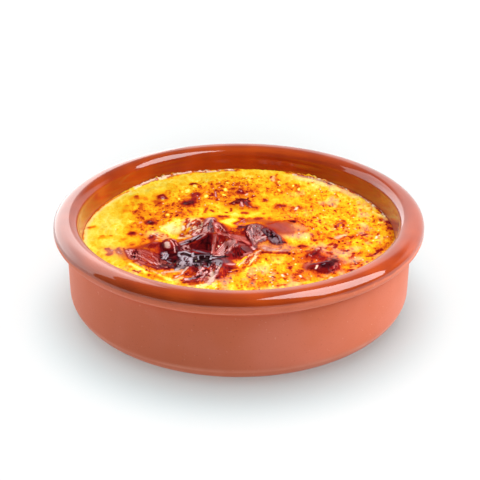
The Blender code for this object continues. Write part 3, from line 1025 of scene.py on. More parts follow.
    burn(0.92, 0.8, -2.5, 21.4, -0.5, 24, 1, 25.8, 3, 25, 4, 23.6), burn(0.9, 1, -0.5, 22.4, 0.2, 23.8),
    burn(0.84, 1.1, 2.4, 23.6, 3.2, 21), rose(0.8, 0.55, -1.8, 21.8), rose(0.95, 0.5, 1.1, 22.8, 1.4, 19.4),
    rose(0.6, 0.5, 0.5, 21, 0.8, 19.4), ash(0.35, 0.7, 2.6, 22.4, 3.2, 19.8),
    burn(0.78, 0.6, 4.4, 18.8, 6.6, 17.8), rose(0.85, 0.3, 3.9, 19, 4.6, 18.5), burn(0.72, 0.5, 1.2, 17.4),
    burn(0.95, 0.3, 1.7, 24.6, 1.9, 22.4),
    # The red crumbs behind the peak and the hump
    burn(0.46, 1.4, 1, 6.6, 6, 6.8, 12, 6.6, blur=0.8), rose(0.3, 1.2, 2, 6.6, 11, 6.4, blur=0.8),
    burn(0.78, 0.9, 0.6, 8.6, 1.6, 8.2), burn(0.68, 0.6, 4, 8.8), burn(0.78, 1, 6.4, 8.1, 8, 8.6),
    burn(0.68, 0.7, 11.4, 8.8), burn(0.68, 0.8, -4.6, 9.6, -5.8, 7.6), burn(0.64, 0.9, -3, 3.6, -1.4, 5.4),
    burn(0.06, 1.8, -3.6, 7, -2, 7.4, blur=0.7),
    # Spots on the left; the small dots of cream beside dark spots are painted glints
    burn(0.6, 2.5, -32.2, 5.6), burn(0.76, 1.7, -33, 5.8, -31.4, 5), burn(0.9, 1, -32.2, 5.6, -31.2, 5),
    rose(0.4, 0.5, -31.8, 6.2), burn(0.62, 1.1, -35.9, 6.4, -35.3, 4.4), cream(0.3, 0.5, -35.6, 5.4),
    burn(0.78, 0.8, -27.1, 9.4), burn(0.56, 1, -28.4, 8, -25.6, 7.4), burn(0.56, 1.3, -28, 4, -28.8, 1.2),
    burn(0.54, 0.9, -29, 2.6, -33, 2.4), burn(0.64, 1.6, -38, -3.8), burn(0.8, 1.15, -38, -3.6),
    burn(0.88, 0.5, -38, -3.2), burn(0.5, 1, -39.4, 2.2, -37, 1.4),
    burn(0.62, 0.7, -34.9, -1.6, -34.3, -1.7), burn(0.66, 0.9, -34.7, -4.6),
    burn(0.74, 0.4, -34.3, -4.6, -34.4, -5.6), cream(0.35, 0.4, -35, -4.2),
    cream(0.22, 2.4, -30, -4, -26.6, -6.4, blur=0.9),
    *threads(cream, 0.35, 0.7, 0.34, 10, (-32.4, -6.4, -27, -9.6), (-30, -2.4, -25.2, -4.8), 65, (0.1,
             0.3)),
    *threads(burn, 0.56, 0.72, 0.3, 6, (-32.4, -7.4, -28, -9.8), (-29.6, -1.6, -25.4, -5.4), 66, (0.08,
             0.25)), burn(0.66, 1.4, -30.5, -6.4, -30.3, -9.6), burn(0.84, 0.8, -30.9, -5.4, -30.8, -7.8),
    rose(0.75, 0.5, -31, -5.2), burn(0.95, 0.4, -30.8, -6.6), burn(0.76, 0.6, -30, -8.2, -30.4, -10),
    burn(0.62, 0.6, -33.6, -8, -33.2, -9.8), burn(0.54, 0.9, -40.6, -8), burn(0.66, 0.8, -37, -12.5),
    burn(0.7, 0.55, -47.9, -6), burn(0.5, 1.2, -48.2, -7), burn(0.62, 0.6, -45.4, -5.6),
    burn(0.58, 0.7, -53.4, 1, -52, 1.6), burn(0.74, 1.1, -45.2, -15.8, -43.8, -18.6, -44.4, -20),
    rose(0.7, 0.7, -43.6, -17.2), burn(0.7, 0.7, -41.4, -15.2), burn(0.72, 0.7, -40.3, -18),
    burn(0.66, 1, -41.6, -17, -40, -19.4), burn(0.78, 0.4, -41.2, -15.8, -39.6, -17.4),
    rose(0.8, 0.4, -41, -17.6, -39.8, -19), cream(0.14, 3.2, -43.6, -17.2, -40.4, -18.2, blur=0.9),
    burn(0.76, 0.3, -39.4, -15, -37.6, -18.8, -36, -21.8, -34.7, -25.4),
    burn(0.3, 0.9, -37.2, -23, -34.8, -27, blur=0.8),
    # The pale custard left of the peak: pale burn and cream painted where its smooth slope faces the lamps,
    # as painted light
    burn(0.04, 2.9, -25.2, 0.6, -22.6, -0.6, blur=0.6), burn(0.06, 2, -23.8, 3.6, -22.2, 5.6, blur=0.7),
    burn(0.1, 1.4, -24.6, -3.4, -22.4, -5.8, blur=0.7), burn(0.12, 1.2, -22, -7.4, -17.8, -5.8, blur=0.7),
    cream(0.3, 2.2, -24.8, 1.4, -22.6, -1.6, blur=0.8),
    cream(0.55, 0.8, -20.6, -6.9, -17.4, -5.4, blur=0.7), burn(0.52, 0.3, -25.5, -4.2, -25, -6.4),
    burn(0.68, 1, -20, -4.9), rose(0.95, 0.55, -20.1, -4.4), burn(0.72, 0.5, -20.5, -5.9, -19.4, -6),
    # The peak's left flank: cream crust under red and orange streaks that run down to the left, and pink
    # streaks that are partly painted sheen
    burn(0.3, 4, -15.6, 5, -16.6, -0.2, blur=0.4), cream(0.5, 3.4, -16.4, 5, -17.2, 0.2, blur=0.6),
    *threads(burn, 0.42, 0.62, 0.5, 14, (-12.4, 8.6, -16, -4), (-20.4, 8, -20.8, -4), 1, (0.1, 0.35)),
    *threads(rose, 0.8, 1, 0.45, 16, (-11.6, 6, -13.4, -3.4), (-18.4, 8, -19, -2), 4, (0.1, 0.3)),
    *threads(burn, 0.66, 0.84, 0.34, 26, (-11.6, 8.6, -14.4, -4.4), (-19, 8.4, -19.6, -4), 2, (0.08, 0.25)),
    *threads(cream, 0.4, 0.8, 0.35, 12, (-11.8, 7, -14, -3.4), (-19.4, 8, -21, -5), 3, (0.1, 0.3)),
    burn(0.78, 0.8, -13.4, 8.4, -12.6, 7.4), burn(0.84, 0.75, -14.2, 6.2, -13.9, 4),
    burn(0.76, 0.5, -16.2, 6.8), burn(0.7, 0.5, -18.7, 4.8),
    burn(0.78, 0.32, -12, 2.6, -14, 0.4, -16.2, -2), burn(0.68, 0.65, -15, -2.6, -16.6, -4.8),
    burn(0.5, 0.75, -17.4, 0.6, -18.7, -3.6), cream(0.5, 0.35, -12.2, 1.2, -14.8, -1.8),
    rose(0.95, 0.5, -12.6, 0.6, -14.4, -2.2),
    # The crown: greyed pink, partly painted sheen of the lamps on dark caramel, with a dark pit at its tip
    burn(0.8, 2, -10, 7.4, -10.6, 3, -11, -1.6), rose(0.86, 1.9, -9.8, 7.4, -10.6, 3, -11, -1.6, blur=0.6),
    rose(0.98, 1.2, -10.4, 5, -12.6, 0, -15.4, -4.6), ash(0.34, 1.2, -9, 6.6, -9.4, 1, -9, -2.6, blur=0.8),
    *threads(rose, 0.8, 0.96, 0.3, 18, (-10.8, 7.8, -13.4, 1, -16.8, -5.4), (-9, 7.4, -10, 2, -10.4, -3.2),
             5, (0.12, 0.35)),
    *threads(burn, 0.78, 0.86, 0.17, 12, (-10.8, 7.8, -13.4, 1, -16.4, -5.4), (-8.8, 7.4, -8.9, 2, -9.2,
             -3.2), 6, (0.08, 0.22)),
    *threads(ash, 0.5, 0.75, 0.24, 8, (-10, 7.8, -11, 1, -11, -3), (-8.8, 7.4, -8.6, 2, -8.6, -3.2), 55,
             (0.12, 0.3)), burn(1, 0.4, -8.7, 2.9), burn(0.84, 0.3, -9, 7.2, -7.8, 4.4),
    burn(0.8, 0.25, -12, 2.4, -13, 0.6),
    # The right slope of the crown, and the pink band below it
    burn(0.56, 0.8, -6.2, 5.6, -3.6, 0.4, blur=0.7), burn(0.86, 1.5, -7.6, 3.4, -5.4, -0.8, -4.2, -3.4),
    rose(0.7, 1.6, -7.8, 3.4, -6.4, -0.8, -4.8, -3, blur=0.6),
    ash(0.36, 1.1, -7, 3, -5.2, -0.8, -4.4, -2.8, blur=0.7), rose(0.55, 0.9, -7.9, -0.8, -7, -3),
    *threads(rose, 0.6, 0.84, 0.3, 14, (-8.4, 3.4, -7.6, -2.8), (-6, 4.6, -3, -3), 7, (0.15, 0.45)),
    *threads(burn, 0.82, 0.9, 0.18, 7, (-8.2, 3.8, -7.4, -2.8), (-6, 4.6, -3, -3), 8, (0.12, 0.4)),
    burn(0.86, 0.3, -6.2, 3.4, -4.6, -0.8, -3.9, -2.8), burn(0.98, 0.35, -4, -3.3),
    burn(0.7, 2.2, -5.6, -4.8, -1.8, -6.4, 1.2, -7.6), rose(0.62, 2, -6, -4.8, -1.8, -6.4, 1.2, -7.6),
    rose(0.6, 0.9, 1.4, -8.4, 3.4, -11.4, 4.2, -14),
    *threads(rose, 0.55, 0.78, 0.34, 12, (-6.4, -3.4, -1, -4.4, 2, -6.4), (-4.6, -6.6, 0, -9, 3.4, -11.6),
             9, (0.15, 0.45)), burn(0.82, 1.1, 0.6, -11, 2.8, -13.4), ash(0.45, 1, 0.4, -11.2, 2.8, -13.4),
    rose(0.6, 0.7, 0.4, -11.8, 2, -12.8), burn(0.86, 0.3, -4.6, -6, -1.4, -9.2, 2.2, -11.6, 4, -15.2),
    # The dip between the crown and the hump: red, and dark purple painted as the hump's shade
    burn(0.12, 1.3, -5.4, 6.4, -2.4, 3.6, blur=0.7), burn(0.7, 0.7, -1.4, 4.4, 0.6, 6.4, 2.6, 7.2),
    *threads(rose, 0.6, 0.85, 0.26, 6, (-1.8, 4.4, 0.4, 6.8, 2.8, 7.6), (-0.8, 2.6, 1, 4.6, 2.6, 5.4), 67,
             (0.1, 0.3)), burn(0.72, 1.7, -2, -1.6, 0.8, -2.4, blur=0.6),
    burn(0.8, 1.3, 0.8, -1.4, 1.4, -3.4, blur=0.5), burn(0.9, 0.45, -2.8, -2.4, -0.2, 0.2, 1.8, 1.2),
    burn(0.76, 0.8, -2.2, -3.4, -0.6, -3.2), burn(0.6, 0.5, -1.2, -0.6, 0.2, -1.8),
    burn(0.92, 1.1, 0.8, 1.7, 1.9, 0.8), burn(0.88, 0.5, 2.3, 1.6, 1.8, -3.4),
    rose(0.6, 0.4, 0.2, 3, 2, 3.8),
    *threads(burn, 0.56, 0.86, 0.3, 8, (-3, 0.6, -2.6, -3.8), (1.8, 0.4, 1.6, -3.6), 10, (0.15, 0.4)),
    # The hollow front: two dark glassy faces and the rib between them, with painted glints on the right face
    burn(0.88, 2.3, -10.9, -6.2, -12, -12.4, -11.7, -16.4, blur=0.16),
    burn(0.88, 1.9, -15, -13.4, -12.4, -16.4, blur=0.2), burn(0.88, 0.7, -10, -4.6, -9.9, -18.4),
    *threads(burn, 0.78, 0.99, 0.3, 24, (-10.6, -5, -16.4, -13), (-9.6, -7, -10.2, -18.6), 11, (0.2, 0.6)),
    burn(0.94, 1, -11.3, -9.4, -10.4, -14, blur=0.8), burn(0.84, 0.35, -12.6, -7, -14, -9.8),
    burn(0.82, 0.3, -10.4, -12.6, -10.2, -16.6), ash(0.6, 0.6, -15.8, -16.2, -12, -18.3, -10.2, -19.1),
    burn(0.84, 1.5, -6.4, -6.4, -5.9, -8.8, -6.6, -11.6, blur=0.2),
    burn(0.84, 1.2, -6.8, -11, -7.7, -17.4, blur=0.2),
    *threads(burn, 0.78, 0.96, 0.25, 16, (-7.7, -4.6, -8.2, -18), (-5, -7, -7, -17.6), 12, (0.2, 0.6)),
    burn(0.78, 0.85, -8.2, -4.8, -8.5, -12, -8.8, -19.2),
    rose(0.55, 0.7, -8.2, -4.8, -8.5, -12, -8.8, -19.2), rose(0.8, 0.26, -8.9, -12.4, -9.2, -19),
    # painted glints on the right face: the small cream and pink dots
    rose(0.75, 0.25, -8, -6, -8.2, -10.4), cream(1, 0.28, -6.9, -13.3, -6.8, -14.1),
    cream(0.7, 0.2, -6, -10.8), rose(1, 0.22, -5.8, -11.9), cream(0.6, 0.18, -7.6, -15.4),
    rose(0.85, 0.28, -4.5, -9.6, -6.2, -14.6, -8, -18.8),
    # The hollow's edge on the left, the arm under it and the shelf
    burn(0.86, 1.5, -19.6, -12.4, -16, -8.6, -12.6, -4.8),
    rose(0.86, 1.4, -19.4, -11.8, -16, -8.2, -12.4, -4.4),
    ash(0.6, 1.1, -19.4, -12.2, -16.4, -8.8, blur=0.8), ash(0.3, 0.9, -16.4, -8.8, -12.8, -5, blur=0.8),
    *threads(ash, 0.5, 0.85, 0.26, 9, (-20, -11.6, -16, -7.6, -12, -3.8), (-18.6, -13, -15, -9.2, -12.4,
             -5.8), 13, (0.15, 0.45)),
    *threads(burn, 0.86, 0.97, 0.2, 7, (-19.8, -12, -16, -8.2, -12, -4.2), (-18.6, -13.2, -15, -9.4, -12.4,
             -5.8), 14, (0.12, 0.4)), rose(0.8, 0.45, -20.4, -11.2, -16.2, -7.4, -12.4, -3.7),
    *threads(ash, 0.7, 1, 0.3, 9, (-20.6, -10.9, -16.4, -7, -12.6, -3.3), (-18.8, -12.6, -15.2, -9, -12.4,
             -5.4), 62, (0.1, 0.3)),
    *threads(burn, 0.9, 1, 0.2, 6, (-20.4, -11.2, -16.2, -7.2, -12.4, -3.5), (-18.8, -12.8, -15, -9.2,
             -12.4, -5.6), 63, (0.06, 0.16)), burn(0.95, 0.3, -13.2, -5.4, -15.4, -8.6),
    burn(1, 0.5, -16.8, -9.7, -16.7, -10.2), burn(0.86, 2, -18.8, -14.2, -18, -16.8),
    rose(0.7, 1.7, -18.8, -14.2, -18, -16.6), ash(0.5, 1.5, -18.8, -14.2, -18, -16.6, blur=0.7),
    rose(0.95, 0.5, -18.4, -13.6, -17.2, -15.6),
    *threads(rose, 0.8, 1, 0.3, 6, (-20, -13.4, -19.4, -17.4), (-17.2, -13, -16.6, -17.6), 15, (0.2, 0.5)),
    *threads(burn, 0.84, 0.95, 0.25, 6, (-20, -13.4, -19.6, -17.4), (-17.2, -13.6, -16.6, -17.6), 16, (0.2,
             0.5)), ash(1, 0.35, -19.8, -12.4, -17.8, -11.2), burn(0.93, 0.35, -19.8, -13.8, -20.9, -18.2),
    # The bright ridge right of the hollow, painted as a pink-white highlight, and the block's dark right side
    burn(0.8, 1.8, -2.4, -11, -3.4, -14.4, -6, -18.6),
    rose(0.96, 1.8, -2.4, -10.2, -3.6, -13.6, -5.8, -18.4),
    burn(0.8, 1.1, -1, -12.8, -1.6, -15.4, -3.8, -19), rose(0.6, 1, -0.9, -12.2, -1.6, -15.2, -3.6, -18.8),
    ash(0.5, 0.9, -0.7, -12.2, -1.6, -15.2, -3.6, -18.8),
    *threads(rose, 0.8, 1, 0.3, 8, (-1.8, -11, -4.6, -19), (0, -12.6, -2.4, -17.6), 17, (0.2, 0.6)),
    *threads(burn, 0.74, 0.84, 0.13, 5, (-4, -11.4, -7.4, -18.8), (-0.6, -13, -3.4, -19.4), 18, (0.2, 0.5)),
    burn(0.91, 1.8, -0.6, -15.8, -1.2, -18.6), burn(0.84, 2, -1.8, -20.6, 0.4, -20.4),
    burn(0.8, 1.2, -2.6, -22.6, 0.6, -22.4),
    *threads(burn, 0.78, 0.97, 0.26, 14, (-1.6, -15.4, -3.4, -22.6), (1, -15.6, 1.8, -21.6), 19, (0.15,
             0.45)), burn(0.87, 1.7, 2.2, -14.4, 3.4, -17.2), rose(0.5, 1.5, 2, -14.4, 3.4, -17),
    ash(0.3, 1.3, 2, -14.4, 3.4, -17), rose(0.72, 0.6, 4.2, -18.3, 2, -19.6),
    burn(0.93, 0.25, 0.8, -15, 2.4, -18.6),
    *threads(ash, 0.35, 0.5, 0.3, 5, (1, -13.6, 1.4, -18), (3.8, -15, 4.4, -17.6), 20, (0.2, 0.5)),
    # The red bubble on the wing, with its painted pink-white highlight
    burn(0.72, 2.6, -34.8, -16.4, -31, -14.2, -28.4, -12.6, blur=0.3),
    rose(0.42, 2.4, -34.4, -16.8, -31, -14.8, -28.6, -13.2, blur=0.7),
    *threads(burn, 0.64, 0.84, 0.26, 9, (-35.8, -16.4, -30.4, -12.4, -27.8, -11.4), (-35, -18.4, -30.6,
             -16.4, -27.6, -15.8), 64, (0.15, 0.5)), rose(0.5, 0.6, -29, -10.6, -28.2, -10.8),
    burn(0.74, 2, -29.6, -15.4, -27.6, -16, blur=0.4),
    burn(0.78, 2.7, -24.4, -11.6, -23.2, -15.2, blur=0.3), burn(0.92, 0.55, -26.5, -10.6, -26.3, -17),
    *threads(burn, 0.74, 0.9, 0.3, 10, (-30.8, -13, -33, -16.8), (-27, -11, -26.8, -17.6), 21, (0.2, 0.5)),
    # painted highlight on the bubble: a pink-white bean with a cream core
    rose(1, 1.05, -24.6, -10.9, -24.3, -14.2), cream(0.4, 0.8, -24.7, -11.2, -24.5, -13.6),
    burn(0.88, 0.2, -23.9, -13.8), burn(0.9, 0.7, -24.4, -16.9, -22.6, -16.9),
    burn(0.9, 0.5, -22.6, -9.2, -21.2, -12.6, -20.8, -16.8),
    rose(0.85, 0.28, -23.4, -9, -22.4, -11.6, -22, -13.8), rose(0.7, 0.22, -21.8, -10.4, -21, -13.4),
    rose(0.95, 0.3, -22, -14.4, -21.8, -18.4), burn(0.93, 0.5, -21.2, -13.8, -20.8, -17.8),
    burn(0.86, 0.35, -26, -10, -25.2, -8.6, -23.8, -8, -22.4, -8.8), rose(0.7, 0.3, -23, -8.2, -21.6, -9.4),
    burn(0.6, 0.5, -27.2, -8.6, -26.8, -10),
    # The wing: salmon fibres, purple wrinkles on the left and a dark lower edge
    burn(0.58, 4.4, -33.6, -19.6, -30, -22, -27.4, -25, blur=0.7),
    burn(0.72, 3.4, -33.2, -19.4, -30, -22, -27.4, -25, blur=0.5),
    rose(0.84, 3.4, -33.4, -19.8, -30.4, -22.4, -27.6, -25.4, blur=0.6),
    burn(0.76, 1.9, -37, -17.2, -35.4, -22.2, blur=0.4), rose(0.84, 1.7, -37, -17.2, -35.4, -22),
    ash(0.3, 1.2, -37, -17.2, -35.4, -22, blur=0.8),
    *threads(rose, 0.55, 0.76, 0.34, 46, (-36.8, -19.6, -32.6, -24.6, -28.4, -28.6), (-33.6, -16.8, -29,
             -19.6, -25.6, -25.4), 22, (0.15, 0.5)),
    *threads(burn, 0.7, 0.82, 0.16, 12, (-36.8, -20, -32.6, -25, -28.4, -29), (-33, -16.8, -28.6, -19.4,
             -25.6, -25), 23, (0.15, 0.5)),
    *threads(rose, 0.6, 0.86, 0.3, 18, (-38.6, -15.6, -36.6, -22.6), (-35, -15.6, -33.4, -23), 24, (0.15,
             0.4)),
    *threads(burn, 0.82, 0.93, 0.2, 11, (-38.6, -15.8, -36.6, -22.8), (-35, -16, -33.4, -23.4), 25, (0.15,
             0.4)), burn(0.97, 0.45, -35.5, -20.6, -35.3, -21.6), burn(0.8, 1.1, -33.6, -25, -31, -27),
    rose(0.62, 0.9, -33.4, -25.2, -31.2, -26.8), burn(0.74, 1.1, -30.4, -28.3, -26.4, -30.2),
    burn(0.8, 0.7, -29.8, -28.4, -23.6, -30.4), rose(0.4, 0.9, -31, -27.2, -25, -29.4, blur=0.8),
    rose(1, 0.25, -27.3, -29.2), rose(0.9, 0.25, -25.6, -29), burn(0.6, 0.6, -32.4, -28.6, -27.2, -31.6),
    *threads(burn, 0.7, 0.84, 0.24, 10, (-33.6, -26.4, -25, -31.4), (-31.4, -24.8, -22.8, -29.8), 26, (0.1,
             0.35)), burn(0.93, 1.6, -25, -27.6, -21.8, -28.4), ash(0.5, 1.5, -25, -27.6, -21.8, -28.4),
    rose(0.9, 0.5, -26.2, -26.6, -24.8, -26.4),
    *threads(rose, 0.5, 0.9, 0.26, 7, (-26.2, -26.6, -21.4, -27), (-25.8, -29, -21.6, -29.6), 27, (0.15,
             0.4)), burn(0.97, 0.4, -23.4, -29.4), burn(0.95, 0.35, -20.9, -28.6),
    # The web of ash: its bed, its grey cloth, its holes and its threads
    burn(0.93, 1.7, -25.2, -18.8, -25, -22.8), burn(0.93, 3.4, -18.2, -21.8, -18.4, -27, blur=0.2),
    burn(0.93, 3.4, -13, -22.6, -11.2, -23.4, blur=0.2), burn(0.93, 1.7, -15.2, -27.2, -10.6, -27.2),
    burn(0.93, 1.3, -8.6, -21.8, -5.4, -21.4), ash(0.55, 1.05, -25.5, -18.8, -25.2, -22.4),
    *threads(rose, 0.8, 1, 0.22, 5, (-26.4, -17.6, -26, -23), (-24.6, -17.6, -24.4, -23), 58, (0.1, 0.3)),
    *threads(ash, 0.75, 1, 0.3, 8, (-26.6, -17.6, -26, -23), (-24.4, -17.6, -24.2, -23.4), 28, (0.15, 0.4)),
    burn(1, 0.4, -26, -22), burn(1, 0.4, -24.9, -23.2), burn(0.97, 0.3, -25.2, -20),
    burn(0.97, 0.3, -26.3, -20.4), rose(0.9, 0.35, -25.4, -18.4),
    burn(0.96, 2.4, -22.2, -21.4, -21.6, -23.4, blur=0.15), burn(0.9, 0.9, -21.8, -21.8, blur=0.8),
    ash(0.4, 0.6, -23.2, -23.6), ash(1, 0.3, -24, -19.4, -24.4, -23.2),
    ash(0.8, 0.25, -24, -24.4, -22.6, -26), ash(0.78, 1.7, -18.4, -21.9, -17.8, -23.8),
    ash(0.84, 1.8, -18.8, -25.6, -18.9, -28.4), ash(0.95, 0.8, -19.8, -29.2, -20.8, -30.8),
    ash(0.92, 0.7, -16.2, -22.4, -16, -25.8),
    *threads(ash, 0.4, 0.6, 0.22, 12, (-20, -20.8, -20.6, -29), (-16.6, -21.4, -16.8, -28), 29, (0.08,
             0.2)),
    # painted highlights: the brightest grey threads over the web
    *threads(ash, 0.95, 1, 0.24, 12, (-20, -20.8, -20.6, -29.6), (-16.6, -21.4, -16.8, -28), 56, (0.08,
             0.22)),
    *threads(burn, 0.93, 1, 0.16, 9, (-20, -20.8, -20.6, -29), (-16.6, -21.4, -16.8, -28), 57, (0.06,
             0.16)), burn(1, 0.5, -17.5, -24.8), burn(1, 0.35, -18, -27.6), burn(0.98, 0.3, -16.5, -26.4),
    burn(0.95, 0.25, -19.4, -24), burn(0.95, 0.25, -20.2, -26.4), ash(0.9, 0.5, -20.6, -19.2, -20, -21),
    burn(1, 0.75, -19.2, -18.8, -18, -19.2, -16.5, -20.6, blur=0.25),
    ash(0.95, 0.4, -20.4, -18.4, -18.6, -17.6, -16.4, -19), ash(0.95, 0.5, -15.5, -18.8, -15.4, -21.2),
    burn(1, 0.5, -14.7, -19.3, -14.2, -19.8, blur=0.3),
    burn(1, 0.85, -14.5, -23.2, -14.6, -25.2, blur=0.25), burn(1, 1.7, -12, -22.1, -11.7, -23.7, blur=0.2),
    burn(1, 0.8, -10.7, -21.3, -10.5, -24.4, blur=0.25), burn(1, 0.7, -13.8, -25.2, -12.6, -25.4),
    ash(0.95, 0.25, -13.7, -20.4, -13.8, -22.2, -13.5, -23.6), ash(0.75, 0.2, -11.6, -20.5, -11.5, -22),
    ash(0.45, 0.22, -12.6, -24.6, -11.4, -25.2), ash(0.9, 0.3, -15.4, -20.8, -12.6, -20.3, -9.8, -20.3),
    ash(0.98, 0.4, -9.3, -20.6, -9.4, -23.2), cream(0.7, 0.2, -14.4, -24.6),
    ash(0.85, 0.9, -8.6, -21.9, -5.8, -21.5), rose(0.9, 0.4, -8.6, -20.3, -5.2, -20.2),
    burn(1, 0.3, -8.8, -21.4, -5, -20.9), burn(1, 0.35, -9, -24.1, -8.2, -23.2),
    burn(1, 0.3, -7, -22.1, -3.8, -21.6), burn(1, 0.3, -9.6, -25.4, -8.4, -24.8),
    ash(1, 0.3, -9, -25, -7.4, -23.4), ash(0.7, 1.4, -15.2, -27.2, -10.8, -27.4),
    *threads(ash, 0.6, 1, 0.26, 16, (-16.2, -26.4, -16, -28.8), (-9.8, -26.2, -10, -29.4), 30, (0.3, 0.9)),
    *threads(burn, 0.9, 0.99, 0.22, 12, (-16.2, -26.4, -16, -28.8), (-9.8, -26.2, -10, -29.4), 31, (0.3,
             0.8)),
    # The film that runs from the web to the right, and the first tongue with the red pool beside it
    burn(0.82, 1.7, -4.8, -24.2, -3.6, -26.2, blur=0.6), rose(0.5, 1.6, -5, -24, -3.6, -26.2, blur=0.7),
    ash(0.45, 1.2, -5.2, -23.6, -4.2, -25.2, blur=0.8), rose(0.9, 0.8, -3.4, -27.2, -0.8, -27, blur=0.8),
    burn(0.45, 0.7, -0.4, -27.4, 0.4, -26.6, blur=0.8), burn(0.8, 2.1, -4.4, -29.6, -2, -30.6, blur=0.4),
    burn(0.78, 1.9, -2.2, -30.6, -4.6, -33, -6.4, -35.2, blur=0.4), burn(0.9, 0.9, -4.4, -29.2, -3, -30.4),
    burn(0.64, 0.4, -2.4, -31.8, -0.4, -30.8), burn(0.62, 0.4, -3.6, -33.9, -1.8, -33.6),
    # a painted pink highlight on the red pool
    rose(0.95, 0.25, -3.5, -32.5, -2.4, -32.3), burn(0.62, 0.4, -5.6, -35.8, -3.6, -35.6),
    burn(0.84, 0.6, -6.4, -33, -7.4, -36.4), burn(0.84, 1.8, -6.9, -24.6, -7.2, -28, -8.4, -33.4),
    ash(0.95, 1.6, -6.9, -24.8, -7.4, -28), rose(1, 1.6, -7.8, -29.4, -8.4, -33.4),
    rose(1, 1, -8.8, -34, -9.2, -39), ash(0.4, 0.9, -8.2, -30, -8.8, -36, blur=0.8),
    *threads(rose, 0.9, 1, 0.34, 12, (-8.8, -25, -9.8, -38), (-5.4, -25.4, -7.8, -37), 32, (0.1, 0.3)),
    *threads(burn, 0.8, 0.92, 0.2, 9, (-8.8, -24.6, -9.8, -36), (-5.6, -25.4, -7.6, -34), 33, (0.08, 0.2)),
    cream(0.4, 0.6, -8.6, -32.8, -9, -37, blur=0.8), cream(0.3, 0.4, -6.2, -27.6, -6.6, -29.6),
    burn(0.93, 0.4, -9, -28.6, -8.7, -29.2), burn(0.88, 0.3, -7.4, -30.4),
    burn(0.84, 0.25, -9.7, -31, -9.9, -33),
    # The second tongue, the dark streaks and the second pool
    burn(0.82, 1.7, -13, -30.4, -12, -33.6, -12.4, -36.2),
    rose(0.86, 1.5, -13, -30.4, -12, -33.4, -12.6, -36),
    ash(0.4, 1.2, -13, -30.4, -12, -33.4, -12.6, -36, blur=0.8),
    *threads(rose, 0.8, 1, 0.3, 14, (-13.8, -31, -15.4, -37), (-10.2, -31.4, -10.4, -37.6), 34, (0.12,
             0.35)),
    *threads(burn, 0.8, 0.93, 0.18, 9, (-13.6, -31.6, -15.2, -37), (-10.4, -32.4, -10.4, -37.6), 35, (0.12,
             0.35)), rose(1, 1, -12.8, -29.3, -12.2, -31), ash(0.9, 0.5, -12.8, -29.4),
    burn(0.97, 0.6, -11.6, -31.6, -10.6, -31), burn(0.92, 0.55, -13.6, -36.6, -12, -34.6),
    burn(0.93, 0.4, -10.4, -34.6, -9.8, -35.4), burn(0.8, 1.9, -15.2, -30.6, -16, -33, blur=0.3),
    burn(0.76, 1.4, -16.8, -32.6, -18, -34.4, blur=0.4), burn(0.62, 0.8, -18.4, -35.2, -20.8, -36.4),
    # two painted pink highlights on the second pool
    burn(0.88, 0.5, -15.2, -29.8, -14.4, -31.6), rose(0.9, 0.22, -15.8, -31.6), rose(0.9, 0.2, -16.6, -34),
    burn(0.68, 0.4, -16.8, -31.6, -17.8, -33.6),
    rose(0.95, 0.45, -16.8, -28.9, -18, -31.4, -19, -34, -20.4, -36.2),
    cream(0.5, 0.35, -17, -29.2, -18.2, -31.6, -19.2, -34.2, -20.6, -36.2),
    cream(0.35, 0.5, -18.4, -36.4, -21.4, -38), burn(0.8, 1, -17.4, -37.6, -14.6, -37.2),
    rose(0.95, 0.9, -17.2, -37.5, -14.6, -37), ash(0.7, 0.6, -16, -37.2, -14.2, -36.4),
    burn(0.84, 0.8, -17.8, -39.6, -14, -39.5), burn(0.74, 0.9, -15.4, -40.6, -11.8, -40.2),
    rose(0.4, 0.3, -16.6, -38.9, -13.4, -38.6), burn(0.78, 1, -13.2, -38, -10.8, -37.6),
    rose(0.6, 0.9, -13.2, -38, -10.8, -37.6),
    *threads(burn, 0.78, 0.9, 0.22, 8, (-16.4, -36.6, -10.4, -36.6), (-17, -39.8, -10.8, -39.4), 36, (0.15,
             0.4)), burn(0.12, 1.2, -12.6, -42.2, -8.6, -41.6), cream(0.4, 0.8, -12.6, -42, -9.4, -40.6),
    rose(0.6, 0.6, -10.4, -39.6, -9.2, -41), burn(0.56, 0.3, -12.3, -42), burn(0.56, 0.3, -9.9, -42.3),
    burn(0.58, 0.5, -6.8, -38.6, -6.4, -39.6), burn(0.56, 0.5, -4.2, -41.8), burn(0.54, 0.4, -2.8, -38),
    # In front of the wing
    burn(0.58, 1.4, -22.6, -33.8, -20.4, -33.8, blur=0.3), burn(0.66, 0.5, -21.8, -34.6, -20, -34.4),
    cream(0.35, 0.5, -24.4, -32.6, -19.8, -31.6), burn(0.12, 0.9, -26.6, -34.6, -22.4, -38),
    burn(0.12, 0.8, -36.4, -26.8, -31.4, -32, -26.6, -36.8, blur=0.8),
    cream(0.2, 0.35, -34.6, -26, -30, -30.8, -26, -34), burn(0.66, 0.8, -29.7, -34.6, -28.6, -35),
    burn(0.54, 0.9, -28.4, -35.4, -25.6, -36.6), burn(0.76, 0.4, -35, -31.7, -33.4, -32.8),
    burn(0.64, 0.6, -36.4, -28.6), burn(0.6, 0.25, -31, -31, -27, -35.4, -24.6, -38.2),
    burn(0.6, 0.25, -32.4, -28, -29.4, -31.2), burn(0.64, 0.4, -21.4, -36.6, -20.2, -37.2),
    # The fibrous hump
    burn(0.82, 3.3, 5.8, 0.6, 5.8, -3.6, 6.4, -8, blur=0.2),
    rose(0.94, 3.1, 5.8, 0.6, 5.8, -3.6, 6.4, -8, blur=0.25),
    ash(0.36, 3, 5.8, 0.6, 5.8, -3.6, 6.4, -8, blur=0.3), burn(0.82, 1.6, 6.8, -9.4, 5.4, -14.8),
    rose(0.9, 1.5, 6.8, -9.4, 5.4, -14.6), ash(0.6, 0.8, 7.2, -9.6, 5.8, -14),
